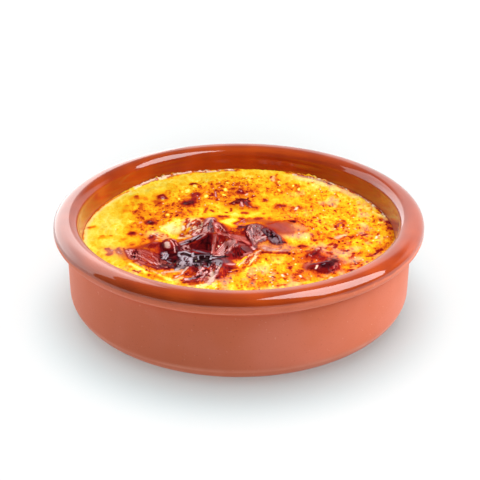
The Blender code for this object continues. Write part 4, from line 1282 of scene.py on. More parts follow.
    *threads(rose, 0.9, 1, 0.22, 60, (3.2, 2.4, 2.4, -2, 4.8, -15), (8.6, 2.4, 9.4, -4, 7.8, -12.4), 37,
             (0.06, 0.16)),
    *threads(ash, 0.3, 0.5, 0.2, 50, (3, 2.4, 2.4, -2, 4.8, -15), (8.8, 2.4, 9.4, -4, 7.8, -12.4), 38,
             (0.05, 0.14)),
    *threads(burn, 0.78, 0.86, 0.12, 26, (3, 2.4, 2.4, -2, 4.8, -15), (8.8, 2.4, 9.4, -4, 7.8, -12.4), 59,
             (0.05, 0.12)), burn(0.88, 0.35, 3, 2.6, 2.2, -2, 2.7, -5.6, 4, -9.6, 4.3, -13.4),
    burn(0.94, 0.6, 8.4, -5.4, 9.2, -4.5), burn(0.9, 0.35, 9.8, -2.6, 10.2, -3.6),
    rose(1, 0.45, 9.8, -6, 8, -6.8, 6.2, -9), cream(0.3, 0.3, 6.4, -8.8, 6, -10), rose(1, 0.4, 5, -15.8),
    burn(0.86, 0.5, 6.4, -15.4, 7.6, -13.4),
    # Its burnt tail
    burn(0.86, 2.2, 10.2, -0.8, 12.2, -6, 13.4, -12, blur=0.2), rose(0.5, 2, 10.2, -1, 12, -5.6, 13, -11),
    ash(0.6, 2.1, 10.2, -1, 12.2, -6, 13.4, -12),
    *threads(ash, 0.5, 0.72, 0.22, 34, (8.8, -0.4, 10.2, -7, 11.2, -13.4), (11.4, 1.4, 14.2, -5, 15.8,
             -12.4), 39, (0.06, 0.2)),
    *threads(burn, 0.9, 1, 0.16, 30, (8.8, -0.4, 10.2, -7, 11.2, -13.8), (11.4, 1.4, 14.2, -5, 15.8,
             -12.8), 40, (0.06, 0.18)), burn(0.82, 0.45, 11.2, 1.4, 13.8, -3, 15.8, -8.4, 16.4, -11.4),
    burn(1, 0.5, 10, -6.2, 12.8, -6.1), burn(1, 0.5, 11.8, -11.2, 12.4, -11.8),
    burn(1, 0.6, 13, -14, 14.4, -14.8), burn(0.98, 0.5, 15.2, -10.6, 15.9, -11.2),
    ash(0.66, 0.8, 11.8, -8.2, 13, -9.4, blur=0.8), burn(1, 0.3, 13.2, -12.8, 14, -13.6),
    ash(0.9, 0.25, 13, -12.2, 13.6, -12.9),
    # The smooth mound, from brown over salmon to cream
    burn(0.26, 3.6, 20.6, -7.4, 22.6, -8, blur=0.7), burn(0.2, 2.6, 20.4, -10.4, 23.4, -9.8, blur=0.8),
    burn(0.5, 2.4, 17.4, -4.2, 23, -3.2, blur=0.8), cream(0.25, 2.6, 17.2, -4.4, 22.8, -5.6, blur=0.9),
    burn(0.65, 2.4, 16, -1.4, 22.4, -0.6, blur=0.7), cream(0.16, 2, 17.6, -1.2, 21.6, 0.4, blur=0.9),
    burn(0.6, 2, 18.6, 2.8, 21.4, 2, blur=0.7), cream(0.14, 1.8, 19.6, 2, 21.8, 1.2, blur=0.9),
    burn(0.68, 3.4, 12.8, 2.8, 15.2, 1.8, 16.2, -1.4, blur=0.8),
    rose(0.5, 3.2, 12.6, 2.8, 15, 2, 16.4, -1, blur=0.9),
    ash(0.2, 2.4, 12.4, 3.2, 14.6, 2.2, 14.8, -0.6, blur=0.9),
    rose(0.4, 1.4, 16.6, 4.4, 17.8, 3.4, blur=0.9), burn(0.76, 0.35, 10.8, 3.8, 14, 6, 17.2, 6.8),
    burn(0.94, 0.8, 18.8, 6.6, 19.9, 5.8), burn(0.8, 0.5, 18.2, 7.2, 20.6, 6.4),
    burn(0.74, 0.35, 20.6, 5.9, 22.8, 4.2, 24, 1.6), burn(0.8, 0.5, 17.8, -12.4), burn(0.6, 1, 17.7, -12.4),
    # The fold of skin in front of it, with painted shade under its front edge
    burn(0.65, 2.6, 8.6, -13, 11.4, -14.8, 16.6, -14.8, blur=0.6),
    cream(0.14, 2.2, 9, -13.6, 11.4, -15.2, 16.6, -15, blur=0.9),
    *threads(rose, 0.58, 0.72, 0.4, 12, (8, -12.4, 10, -14.4, 18, -13.4), (8.2, -17.2, 12, -17.4, 18.6,
             -16.8), 41, (0.1, 0.3)),
    *threads(cream, 0.2, 0.4, 0.35, 6, (8, -12.4, 10, -14.4, 18, -13.4), (8.2, -17.2, 12, -17.4, 18.6,
             -16.8), 42, (0.08, 0.25)),
    # painted shade: the dark red line under the fold's front edge
    burn(0.76, 0.8, 7.4, -18.8, 10, -18.2, 12, -19, 14.2, -18.4, 17, -19),
    burn(0.84, 0.4, 8, -18.6, 9.4, -18.2), burn(0.82, 0.4, 13.2, -18.5, 15.4, -18.5),
    burn(0.56, 0.7, 8, -20.4, 16, -20.4), burn(0.24, 0.35, 2.6, -21.2, 0.6, -25, -0.6, -27, blur=0.7),
    burn(0.24, 0.4, 5, -22, 3.6, -27.4, 2, -33, blur=0.7),
    *threads(cream, 0.3, 0.65, 0.24, 34, (2.8, -20.6, -0.6, -28.4), (8.2, -15.6, 3.4, -29), 43, (0.12,
             0.35)),
    *threads(burn, 0.58, 0.78, 0.2, 36, (3.2, -19.8, 0.6, -31), (8.8, -16.4, 5.4, -28), 44, (0.08, 0.25)),
    burn(0.66, 0.9, 7, -22.2, 7.6, -21.8), burn(0.76, 0.5, 3.4, -22.2, 3, -24),
    burn(0.72, 0.6, 4.6, -21.2, 4, -21.8), burn(0.76, 0.45, 2.2, -29, 1.6, -30),
    burn(0.64, 0.5, 5.4, -26.2), rose(0.6, 0.5, 2.4, -20.2, 1, -21.6),
    # Spots and blisters on the right, with painted highlights on the boat-shaped blister
    burn(0.6, 2, 22.4, -14.4), burn(0.74, 1.5, 22.3, -14.1), burn(0.82, 0.7, 22.2, -13.1, 23.2, -13.6),
    burn(0.66, 0.5, 17.8, -12.4), burn(0.56, 4.2, 25.6, -20.8, blur=0.4),
    burn(0.72, 2.4, 23.8, -21.6, 28.2, -21.8), burn(0.78, 1.9, 24.6, -20.6, 27.4, -21.6),
    burn(0.82, 1.2, 25.4, -19.6, 26.6, -17.2), burn(0.88, 0.7, 24.8, -19.6, 26.4, -18.6),
    rose(0.9, 0.25, 24.3, -20.2, 24.5, -21), rose(0.7, 0.6, 26.6, -15.6, 27.8, -15.2),
    burn(0.8, 0.4, 28.2, -14.8, 27.8, -16.2), burn(0.64, 0.5, 25.4, -15.4, 24.8, -15.8),
    burn(0.84, 0.4, 27.4, -20.4, 28.8, -21.8), burn(0.58, 4.6, 27, -29.8, 30.6, -28.4, blur=0.35),
    rose(0.5, 1.6, 23.4, -27.6, 23.2, -29.6, blur=0.8), burn(0.72, 3.6, 26.8, -30, 30.2, -28.6, blur=0.25),
    burn(0.83, 2.9, 26.4, -29.6, 28.8, -29.6, blur=0.3), burn(0.93, 2, 28.8, -27.4, 31, -26.6),
    burn(0.96, 1.2, 30.6, -25.8, 32.4, -24.8), burn(0.97, 1.1, 28.6, -27.6, 30.6, -27.6),
    burn(0.88, 1.1, 25.2, -29.8, 26.8, -31.4), burn(0.76, 0.8, 24.2, -31.4, 26.2, -33.2),
    rose(0.45, 0.9, 32.8, -26.6, 31.8, -30.2, 29.4, -33.2),
    *threads(rose, 0.6, 0.95, 0.24, 10, (33.4, -26, 32.4, -31, 28, -34.4), (31.4, -26.8, 30.4, -30, 27,
             -32.6), 61, (0.15, 0.4)),
    *threads(burn, 0.8, 0.93, 0.22, 9, (33.4, -26, 32.4, -31, 28, -34.4), (31.4, -26.8, 30.4, -30, 27,
             -32.6), 62, (0.15, 0.4)), ash(0.4, 0.45, 24.2, -27, 26.8, -25.4, 30, -24.4),
    # painted highlight on the boat-shaped blister: a pink-white streak with a cream core, and a dull mauve
    # one beside it
    rose(1, 0.42, 26.1, -27.8, 25.6, -30.2), cream(0.7, 0.24, 26.1, -28, 25.7, -29.8),
    ash(0.6, 0.32, 28.6, -26.2, 28.2, -27.2), burn(0.78, 0.5, 26.4, -35, 27.4, -35.8),
    cream(0.5, 0.45, 29.6, -36.4, 30.4, -35.6), burn(0.7, 0.5, 31.2, -35, 32.4, -34.2),
    burn(0.6, 1, 26.6, -6, 26.4, -9, blur=0.7), burn(0.8, 0.55, 26.6, -8.8, 26.5, -9.8),
    burn(0.68, 0.5, 28.2, -8.6, 29, -9.4), burn(0.62, 0.9, 28.6, -3.2, 31, -4.6),
    burn(0.78, 0.65, 32.4, -11.2, 31.4, -12.6), burn(0.84, 0.6, 33.6, -12.2, 33.9, -13.4, 33.4, -14.8),
    rose(0.5, 0.25, 33.3, -13.6), burn(0.82, 1, 31.2, -15, 31.6, -16),
    burn(0.64, 1.5, 31.4, -15.8, blur=0.7), burn(0.8, 0.8, 30.6, -18.4, 31.4, -19.4),
    burn(0.8, 0.6, 36.4, -17.3, 37.8, -16.6), burn(0.64, 0.35, 38.8, -12.4, 38.5, -13),
    burn(0.64, 0.4, 36, -15.2, 36.2, -15.8), burn(0.78, 0.65, 32, -8.2, 33, -7.8),
    burn(0.56, 1.3, 34.6, -6.4, 37.6, -5, blur=0.7), cream(0.35, 1, 34.8, -7, 37.4, -5, blur=0.8),
    rose(0.4, 0.6, 34.4, -6.6, 35.4, -7.6, blur=0.8), burn(0.74, 0.5, 35.6, -4.1, 36.4, -4.2),
    burn(0.72, 0.4, 36.6, -7.4, 35.9, -8.6), burn(0.66, 0.5, 37.2, -6.2, 36.6, -7.2),
    burn(0.76, 0.6, 38.6, -5.6, 39.3, -6.3), burn(0.64, 1.2, 37.9, 6.4, 36.8, 4.4, 35.6, 1.8),
    rose(0.5, 0.7, 37, 4.8, 36, 2.2, blur=0.8), burn(0.78, 0.5, 37.9, 6.8, 38.4, 5.6),
    burn(0.8, 0.4, 35.2, 2.2, 35, 1), burn(0.78, 0.4, 37.9, 3.4, 37.8, 2.2),
    burn(0.6, 0.35, 37, 3.6, 36.6, 1.2), burn(0.84, 0.7, 44.2, -5.3, 45.2, -4.5),
    burn(0.62, 0.9, 45.6, -2.6, 47.2, -3.2), burn(0.62, 0.9, 47.6, -4.8),
    burn(0.74, 0.5, 49.2, -4.4, 48.8, -5.8), cream(0.85, 0.38, 48.6, -6.7, 48.4, -7.8),
    burn(0.62, 0.4, 45.8, -10.6, 46.4, -11.2), burn(0.62, 0.4, 43.8, -9, 43, -10.4),
    burn(0.6, 1.5, 40.4, -20.2, 43, -19.8, blur=0.7), burn(0.7, 0.45, 40.6, -18.9, 42.4, -18.8),
    burn(0.8, 0.5, 39.2, -19.2, 38.4, -21.6), burn(0.78, 0.45, 37.6, -22.4, 39, -22.2),
    burn(0.82, 0.5, 43.4, -20.9, 45.2, -20.8), burn(0.84, 0.55, 46.2, -20, 47.4, -18.8),
    burn(0.82, 0.75, 47.8, -17.6, 49.2, -16.5), burn(0.68, 0.7, 50, -14.8, 50.5, -13.8),
    burn(0.62, 0.5, 50.4, -12.4), burn(0.62, 1.4, 37.8, -24.2, 40.4, -22.8, blur=0.8),
    cream(0.22, 1.3, 37.8, -24.6, 40.4, -23, blur=0.9), burn(0.76, 0.45, 40.6, -27, 41.3, -27.6),
    burn(0.74, 0.6, 38.4, -27, 39.6, -26.8), burn(0.72, 0.4, 38, -29.2, 38.4, -28.8),
    burn(0.72, 0.35, 40, -29.6, 40.3, -29), burn(0.8, 0.55, 36.4, -31.8, 37.8, -31),
    burn(0.62, 0.4, 43.9, -25.2),
    # Spots at the front; the small dots of cream and of very low burn are painted glints
    burn(0.62, 0.8, 18.6, -24.6, 17.9, -26.6), burn(0.05, 0.35, 19.3, -26.8, 19.2, -27.4),
    burn(0.7, 0.5, 16.5, -26.4, 16.7, -27.2), burn(0.64, 0.45, 17.6, -29, 17.4, -30.4),
    burn(0.64, 0.5, 20.4, -24, 20.6, -25.2), burn(0.7, 0.45, 20.3, -31, 20.6, -32.2),
    burn(0.66, 0.5, 18.2, -32.6, 18, -33.4), cream(0.75, 0.4, 14.2, -34.5, 14.6, -35.6),
    burn(0.74, 0.45, 15.1, -33.9, 15.7, -34.6), burn(0.64, 1.6, 19, -34.6, 18.8, -36.8, blur=0.7),
    burn(0.78, 0.45, 18.4, -34, 20.2, -34.2), cream(0.8, 0.36, 20.4, -34.7, 20.6, -35.5),
    burn(0.74, 0.55, 21.2, -36.2, 22.2, -38.2), burn(0.7, 0.6, 18.4, -38.6, 19.8, -39.2),
    burn(0.64, 0.7, 10.2, -33.4), burn(0.62, 0.6, 9.6, -37, 10.8, -36), cream(0.7, 0.36, 10.2, -35.6),
    burn(0.72, 0.6, 12.8, -41.8, 15.2, -40.8), burn(0.64, 0.6, 8.9, -41), burn(0.62, 0.6, 4.1, -41.3),
    burn(0.6, 0.5, 6.6, -36, 5.8, -38), cream(0.4, 0.4, 4, -34), burn(0.58, 0.6, 12.4, -27.4),
    burn(0.56, 0.6, 9.8, -24.2), burn(0.6, 0.5, 21.6, -32.6),
)


@dataclass(frozen=True)
class Grain:
    """An oval patch of fibres or wrinkles: the way they run, and how long, wide and deep they are."""

    u: float
    v: float
    along: float
    across: float
    turn: float
    heading: float
    length: float
    spacing: float
    depth: float
    streak: float  # how strongly they show as rose and burn

    def read(self, u: Array, v: Array, seed: int) -> tuple[Array, Array]:
        """Gives the patch's mask and its streaks: noise that is drawn out along the heading.

        Args:
            u: The places' first coordinate on the crust.
            v: Their second coordinate.
            seed: Which noise.

        Returns:
            The mask from 0 to 1 and the streaks from -1 to 1.
        """
        along, across = turned(u - self.u, v - self.v, self.turn)
        mask = smoothstep(1.15, 0.7, np.hypot(along / self.along, across / self.across))
        along, across = turned(u, v, self.heading)
        wavy = across + 0.5 * self.spacing * noise(u, v, self.length * 0.6, seed + 5)
        streaks = rough(along / self.length, wavy / self.spacing, 1.0, seed, 2)
        return mask, streaks


GRAINS = (
    Grain(6.0, -4.0, 8.5, 4.2, -80.0, -68.0, 4.0, 0.75, 0.16, 0.55),
    Grain(12.0, -7.0, 7.5, 3.0, -68.0, -62.0, 2.2, 0.7, 0.18, 0.5),
    Grain(-29.5, -22.5, 9.0, 4.6, -50.0, -52.0, 6.0, 0.7, 0.12, 0.45),
    Grain(-35.5, -20.5, 5.0, 2.6, -60.0, -62.0, 3.0, 0.6, 0.14, 0.55),
    Grain(-14.0, 2.0, 8.0, 5.0, 55.0, 60.0, 5.0, 0.8, 0.14, 0.5),
    Grain(-6.0, -2.0, 7.0, 3.0, -50.0, -55.0, 5.0, 0.7, 0.12, 0.35),
    Grain(-4.5, -14.5, 6.5, 2.6, 65.0, 66.0, 6.0, 0.6, 0.1, 0.45),
    Grain(-10.0, -33.0, 9.0, 5.0, 75.0, 70.0, 5.0, 0.9, 0.14, 0.5),
    Grain(-19.0, -26.0, 6.0, 3.0, 80.0, 72.0, 3.0, 0.8, 0.12, 0.4),
)


# ---------------------------------------------------------------------------------------------------------
# The custard
# ---------------------------------------------------------------------------------------------------------


@dataclass(frozen=True)
class CrustFinish:
    """Custard and burnt sugar, coloured by the mesh's burn, rose, cream, ash and specks attributes; rose and
    cream carry painted sheen and highlights.
    """

    burnt: tuple[tuple[float, Rgb], ...] = (
        (0.0, linear(247, 240, 132)),
        (0.1, linear(246, 226, 90)),
        (0.2, linear(243, 206, 54)),
        (0.3, linear(240, 186, 31)),
        (0.4, linear(240, 162, 24)),
        (0.5, linear(232, 134, 22)),
        (0.6, linear(216, 104, 22)),
        (0.7, linear(190, 66, 22)),
        (0.8, linear(148, 26, 22)),
        (0.9, linear(88, 14, 20)),
        (1.0, linear(22, 8, 12)),
    )
    # the film's pink, rising to the pink-white of painted sheen and highlights
    rose: tuple[tuple[float, Rgb], ...] = (
        (0.2, linear(132, 34, 36)),
        (0.6, linear(188, 92, 84)),
        (1.0, linear(242, 192, 190)),
    )
    ash: tuple[tuple[float, Rgb], ...] = (
        (0.2, linear(66, 40, 52)),
        (0.6, linear(124, 100, 110)),
        (1.0, linear(196, 182, 190)),
    )
    cream: Rgb = linear(255, 240, 206)

    def material(self) -> bpy.types.Material:
        """Builds the material.

        Returns:
            The ramp of burnt sugar under films of rose, cream and ash, glassy where it is dark and bare, with
            small painted glints of cream.
        """
        material, nodes, shader = new_material("burnt_custard", {
            "Coat Roughness": 0.12, "Coat IOR": 1.45, "Specular IOR Level": 0.0})
        fine = nodes.noise(0.6, 3.0, (1.0, 0.55, 1.0))
        broad = nodes.noise(2.0, 2.0, (1.0, 0.55, 1.0))
        films = {name: nodes.attribute(name) for name in ("rose", "cream", "ash")}
        laid, specks = nodes.attribute("burn"), nodes.attribute("specks")
        bare = (1.0 - films["rose"].between(0.0, 0.3) * 0.85) * (1.0 - laid.between(0.62, 0.85) * 0.75)
        cell, cell_number = nodes.cells(2.4)
        net = cell.between(0.3, 0.75) * -0.12 + (cell_number - 0.5) * 0.08
        speck, speck_number = nodes.cells(2.0, 31.0)
        dark = (1.0 - speck.between(0.08, 0.34)) * (specks * 0.34 - speck_number).between(0.0, 0.1)
        mottle = (fine - 0.5) * 0.3 + fine.between(0.56, 0.7) * 0.12 + broad.between(0.5, 0.72) * 0.22 - 0.06
        lively = specks.between(0.0, 0.5) * 0.6 + 0.4
        burnt = laid + ((mottle + net) * lively + dark * 0.22) * bare
        colour = nodes.add("ShaderNodeValToRGB", {"stops": self.burnt}, {0: burnt})
        for name, stops in (("rose", self.rose), ("ash", self.ash)):
            film = films[name] + (fine - 0.5) * 0.3 * films[name]
            tone = nodes.add("ShaderNodeValToRGB", {"stops": stops}, {0: film})
            colour = nodes.mixed(film.between(0.0, 0.6) * 0.9, colour, tone)
        # painted glints: small cream dots mixed into the colour where specks lie thick
        glint, glint_number = nodes.cells(2.6, 57.0)
        glints = (1.0 - glint.between(0.05, 0.15)) * (specks * 0.25 - glint_number).between(0.0, 0.1) * bare
        colour = nodes.mixed(films["cream"] + glints * 0.6, colour, self.cream)
        glassy = laid.between(0.7, 0.95) * (1.0 - films["ash"])
        height = fine * 0.3 + broad * 0.4 + cell.between(0.6, 0.1) * 0.4 + dark * 0.3 + glints * 0.2
        wire(shader, {
            "Base Color": colour,
            "Roughness": 0.5 - glassy * 0.15 + films["ash"] * 0.15,
            "Coat Weight": glassy * 0.16,
            "Normal": nodes.bump(height, 0.3, 0.6),
        })
        return material


@dataclass(frozen=True)
class Ground:
    """The crust under the marks: unevenly baked, with a net of cells, and specks where it is busy or pale."""

    bake: float = 0.36  # how far it has burnt
    cloud: float = 0.05  # and how far that rises and falls
    wash: float = 1.4  # how strongly the washes count
    busy: Place = (0.3, 0.52)  # the burn from which the crust is busy, and by which it is all so
    mottle: Place = (0.05, 0.12)  # how deep it is mottled, and how much deeper where it is busy
    squeeze: float = 0.6  # cells and specks are longer front to back by one part in this
    cell_size: float = 2.6
    cells: Place = (0.03, 0.1)  # how far the cells differ, and how much further where it is busy
    net: float = 0.06  # how much paler the net between them is
    net_depth: float = 0.05  # and how far it is sunk
    speck_size: float = 1.8
    speck: float = 0.26  # how much darker a speck is
    pale_right: Place = (14.0, 36.0)  # where the paler crust on the right begins, and is all so
    pale_front: Place = (-18.0, -32.0)  # and the one in front
    whitening: float = 0.2  # how far the paler crust is mottled with white

    def read(self, u: Array, v: Array) -> tuple[Array, Array, Array, Array]:
        """Works out the crust under the marks.

        Args:
            u: The places' first coordinate on the crust.
            v: Their second coordinate.

        Returns:
            The burn, the whitening, how far the crust is raised, and how thick the specks lie.
        """
        burnt = self.bake + self.cloud * rough(u, v, 14.0, 3)
        for wash in WASHES:
            burnt = burnt + self.wash * wash.added(u, v)
        busy = smoothstep(*self.busy, burnt)
        burnt = burnt + (self.mottle[0] + self.mottle[1] * busy) * rough(u, v * 0.7, 4.5, 5)
        near, next_near, number = dots(u, v * self.squeeze, self.cell_size, 61)
        net = smoothstep(0.9, 0.1, next_near - near)
        burnt = burnt - self.net * net + (self.cells[0] + self.cells[1] * busy) * (number - 0.5) * (1.0 - net)
        pale = np.clip(smoothstep(*self.pale_right, u) + smoothstep(*self.pale_front, v), 0.0, 1.0)
        crowd = 0.06 + 0.16 * rough(u, v, 11.0, 71) + 0.85 * busy + 0.5 * pale
        near, _, number = dots(u, v * self.squeeze, self.speck_size, 81)
        reach = self.speck_size * (0.12 + 0.2 * number)
        speck = smoothstep(reach, reach * 0.4, near) * (hashed(number * 999, number * 77, 81) < crowd)
        white = self.whitening * pale * smoothstep(-0.2, 0.6, rough(u, v * self.squeeze, 4.5, 91))
        return burnt + self.speck * speck, white, -self.net_depth * net, crowd


def ragged(u: Array, v: Array) -> tuple[Array, Array]:
    """Moves places about by up to half a millimetre, so that marks get ragged edges, and less on the crags.

    Args:
        u: The places' first coordinate on the crust.
        v: Their second coordinate.

    Returns:
        Both coordinates, moved.
    """
    loose = 1.0 - 0.7 * np.exp(-(((u + 8.0) / 26.0) ** 4) - ((v + 14.0) / 22.0) ** 4)
    return (u + loose * (0.2 * rough(u, v, 1.3, 101) + 0.3 * noise(u, v, 4.0, 103)),
            v + loose * (0.34 * rough(u, v, 1.3, 105) + 0.4 * noise(u, v, 4.0, 107)))


@dataclass
class Custard:
    """The set custard and its crust, as one closed skin whose rings are drawn towards the crags."""

    sectors: int = 840
    rings: int = 200
    crowding: float = 1.12
    crag_centre: Place = (-3.0, -11.5)
    edge_calm: float = 5.0
    meniscus: float = 0.4
    creep_arc: Place = (0.3, 0.9)  # how far back the edge starts to creep up the wall, and does so in full
    climbs: tuple[Point, ...] = ((122.0, 14.0, 1.1), (60.0, 9.0, 0.7))  # direction, spread, height
    creep_reach: float = 1.5
    swell_height: float = 0.8
    swell_reach: Place = (28.0, 19.0)
    ripple_height: float = 0.22
    waver: float = 0.35
    halo: float = 0.6  # how strongly a burnt mark's halo shows at its edge
    burnt_lift: float = 0.08  # how far burnt sugar stands up
    grit: float = 0.05
    side: tuple[Place, ...] = ((EDGE - 0.5, LEVEL - 3.0), (53.3, 13.0), (50.9, 7.4))  # hidden by the dish
    foot_radius: float = 45.6

    def crags(self, x: Array, y: Array) -> Array:
        """Gives the height of the crests, bubbles and hollows, whose lines waver a little.

        The highest of the broad swell, the crests and the bubbles counts, and the hollows are taken from it.

        Args:
            x: The places' first coordinate.
            y: Their second coordinate.

        Returns:
            The height at each place.
        """
        x, y = (place + self.waver * waves(x, y, (5.0, 12.0), seed) for place, seed in ((x, 21), (y, 32)))
        height = self.swell_height * np.exp(-(((x - self.crag_centre[0]) / self.swell_reach[0]) ** 2)
                                            - ((y - self.crag_centre[1]) / self.swell_reach[1]) ** 2)
        for form in (*CRESTS, *BLISTERS):
            height = np.maximum(height, form.height(x, y))
        return height + sum(hollow.height(x, y) for hollow in HOLLOWS)

    def relief(self, x: Array, y: Array) -> Array:
        """Gives the crust's main form above the level.

        Crags and ripples die away to the dish's side, and at the back the edge creeps up the wall.

        Args:
            x: The places' first coordinate.
            y: Their second coordinate.

        Returns:
            The height at each place.
        """
        inside = EDGE - np.hypot(x, y)
        calm = smoothstep(0.0, self.edge_calm, inside)
        ripples = self.ripple_height * waves(x, y, (7.0, 16.0), 9)
        angle = np.degrees(np.arctan2(y, x))
        creep = self.meniscus * smoothstep(*self.creep_arc, np.sin(np.radians(angle)))
        for middle, width, climb in self.climbs:
            creep = creep + climb * np.exp(-(((angle - middle) / width) ** 2))
        creep = creep * (1.0 + 0.4 * noise(x, y, 1.2, 401)) * smoothstep(self.creep_reach, 0.0, inside)
        return calm * (self.crags(x, y) + ripples) + (1.0 - calm) * self.meniscus + creep

    def tints(self, u: Array, v: Array) -> tuple[dict[Tint, Array], Array, Array]:
        """Lays the colours: the ground, and then each mark over the last.

        A mark of burnt sugar covers every film, a film of rose or cream covers the ash under it, and ash
        lies over what is there.

        Args:
            u: The places' first coordinate on the crust.
            v: Their second coordinate.

        Returns:
            The amount of each tint, how far the ground is raised, and how thick the specks lie.
        """
        ground, cream, raised, crowd = Ground().read(u, v)
        none = np.zeros_like(u)
        tints = {Tint.BURN: ground, Tint.ROSE: none, Tint.CREAM: cream, Tint.ASH: none.copy()}
        u, v = ragged(u, v)
        for mark in MARKS:
            near = mark.near(u, v)
            mask, halo = mark.mask(u[near], v[near])
            laid, share, covered = tints[mark.tint][near], mask, {}
            if mark.tint is Tint.BURN:
                share = mask + (1.0 - mask) * self.halo * halo * (laid < mark.value)
                covered = {Tint.ROSE: mask, Tint.CREAM: mask, Tint.ASH: mask}
            elif mark.tint is not Tint.ASH:
                covered = {Tint.ASH: mask * mark.value}
            tints[mark.tint][near] = laid + (mark.value - laid) * share
            for tint, hidden in covered.items():
                tints[tint][near] *= 1.0 - hidden
        return tints, raised, np.clip(crowd, 0.0, 1.0)

    def surface(self, x: Array, y: Array) -> tuple[Array, dict[str, Array]]:
        """Works out the crust's height and colours: its form, then its tints, then fibres and grit on both.

        Args:
            x: The places' first coordinate.
            y: Their second coordinate.

        Returns:
            The height above the base, and the values that the material reads.
        """
        height = self.relief(x, y)
        u, v = x, y + MARK_LEAN * (LEVEL + height - MARK_LEVEL)
        tints, lift, crowd = self.tints(u, v)
        film = np.minimum(tints[Tint.ROSE] + tints[Tint.ASH], 1.0)
        for seed, grain in enumerate(GRAINS, 201):
            mask, streaks = grain.read(u, v, seed * 7)
            thread = smoothstep(0.4, 0.0, np.abs(streaks)) - 0.45
            lift = lift + mask * grain.depth * thread
            tints[Tint.ROSE] = tints[Tint.ROSE] + mask * grain.streak * thread * film
            tints[Tint.BURN] = tints[Tint.BURN] - 0.3 * mask * grain.streak * thread
        lift = lift + self.burnt_lift * smoothstep(0.5, 0.8, tints[Tint.BURN]) * (1.0 - film)
        lift = lift + self.grit * rough(u, v, 1.6, 301)
        calm = smoothstep(0.0, 1.2, EDGE - np.hypot(x, y))
        values = {tint.value: np.clip(amount, 0.0, 1.0) for tint, amount in tints.items()}
        values["specks"] = crowd
        return LEVEL + height + calm * lift, values

    def build(self) -> bpy.types.Object:
        """Builds the closed skin: the crust's rings from their drifting centre, then a plain side and bottom.

        Ring number i lies at the edge's radius times (i / rings) raised to the crowding, and its centre
        moves from the crags to the dish's axis as the square of that share.

        Returns:
            The custard, in place of its CAD solid.
        """
        low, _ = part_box("custard")
        share = (np.arange(1, self.rings + 1) / self.rings)[:, None] ** self.crowding
        angle = np.arange(self.sectors)[None, :] / self.sectors * math.tau
        x = EDGE * share * np.cos(angle) + self.crag_centre[0] * (1.0 - share**2)
        y = EDGE * share * np.sin(angle) + self.crag_centre[1] * (1.0 - share**2)
        centre_x, centre_y = (np.array([part]) for part in self.crag_centre)
        x, y = np.concatenate([centre_x, x.ravel()]), np.concatenate([centre_y, y.ravel()])
        z, values = self.surface(x, y)
        top = np.column_stack((x, y, z))
        side = np.array([*self.side, (self.foot_radius, low.z / MM)])
        sides = np.stack([side[:, :1] * np.cos(angle), side[:, :1] * np.sin(angle),
                          np.broadcast_to(side[:, 1:], (len(side), self.sectors))], -1).reshape(-1, 3)
        points = np.concatenate([top, sides, [[0.0, 0.0, low.z / MM]]])
        added = len(points) - len(top)
        values = {name: np.pad(amount, (0, added), mode="edge") for name, amount in values.items()}
        quads, caps = closed_lathe_faces(self.rings + len(side), self.sectors)
        piece = add_piece("custard_with_crust", points, quads, caps, values)
        piece.data.materials.append(CrustFinish().material())
        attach(piece, ROOT)
        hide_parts("custard")
        return piece


# ---------------------------------------------------------------------------------------------------------
# Camera, light and floor
# ---------------------------------------------------------------------------------------------------------


@dataclass(frozen=True)
class Camera:
    """The camera in front of the dish, looking down on it."""

    place: Point = (0.0, -0.3516, 0.1994)
    look_down: float = 26.70
    lens: float = 82.5
    sensor: float = 36.0
    shift: float = 0.0025

    def build(self) -> bpy.types.Object:
        """Adds the camera and makes it the scene's own.

        Returns:
            The camera.
        """
        data = bpy.data.cameras.new("camera")
        data.lens = self.lens
        data.sensor_width = self.sensor
        data.shift_x = self.shift
        data.clip_start = 0.01
        camera = bpy.data.objects.new("camera", data)
        camera.location = self.place
        camera.rotation_euler = (math.radians(90.0 - self.look_down), 0.0, 0.0)
        bpy.context.scene.collection.objects.link(camera)
        bpy.context.scene.camera = camera
        return camera


class Reach(Enum):
    """What a light falls on."""

    DISH = "EXCLUDE"  # everything but the floor
    FLOOR = "INCLUDE"  # the floor alone


def hang(light: bpy.types.Object, reach: Reach, floor: bpy.types.Object) -> None:
    """Puts a light in the scene, unseen by the camera, and limits what it falls on.

    Args:
        light: The light.
        reach: What it falls on. Everything may still cast a shadow from it.
        floor: The floor.
    """
    bpy.context.scene.collection.objects.link(light)
    light.visible_camera = False
    receivers = bpy.data.collections.new(light.name + "_reach")
    receivers.objects.link(floor)
    light.light_linking.receiver_collection = receivers
    receivers.collection_objects[0].light_linking.link_state = reach.value


@dataclass(frozen=True)
class Softbox:
    """A rectangular soft light: where it hangs, which way its back faces, its roll, size and glow."""

    name: str
    place: Point
    azimuth: float
    elevation: float
    roll: float
    width: float
    depth: float
    radiance: float

    def build(self, floor: bpy.types.Object) -> None:
        """Adds the light over everything but the floor.

        Args:
            floor: The floor.
        """
        data = bpy.data.lights.new(self.name, "AREA")
        data.shape = "RECTANGLE"
        data.size, data.size_y = self.width, self.depth
        data.energy = self.radiance * math.pi * self.width * self.depth
        light = bpy.data.objects.new(self.name, data)
        light.location = self.place
        azimuth, elevation = math.radians(self.azimuth), math.radians(self.elevation)
        back = Vector((math.sin(azimuth) * math.cos(elevation), math.cos(azimuth) * math.cos(elevation),
                       math.sin(elevation)))
        side = Vector((0.0, 0.0, 1.0)).cross(back).normalized()
        side.rotate(Matrix.Rotation(math.radians(self.roll), 3, back))
        light.rotation_euler = Matrix((side, back.cross(side), back)).transposed().to_euler()
        hang(light, Reach.DISH, floor)


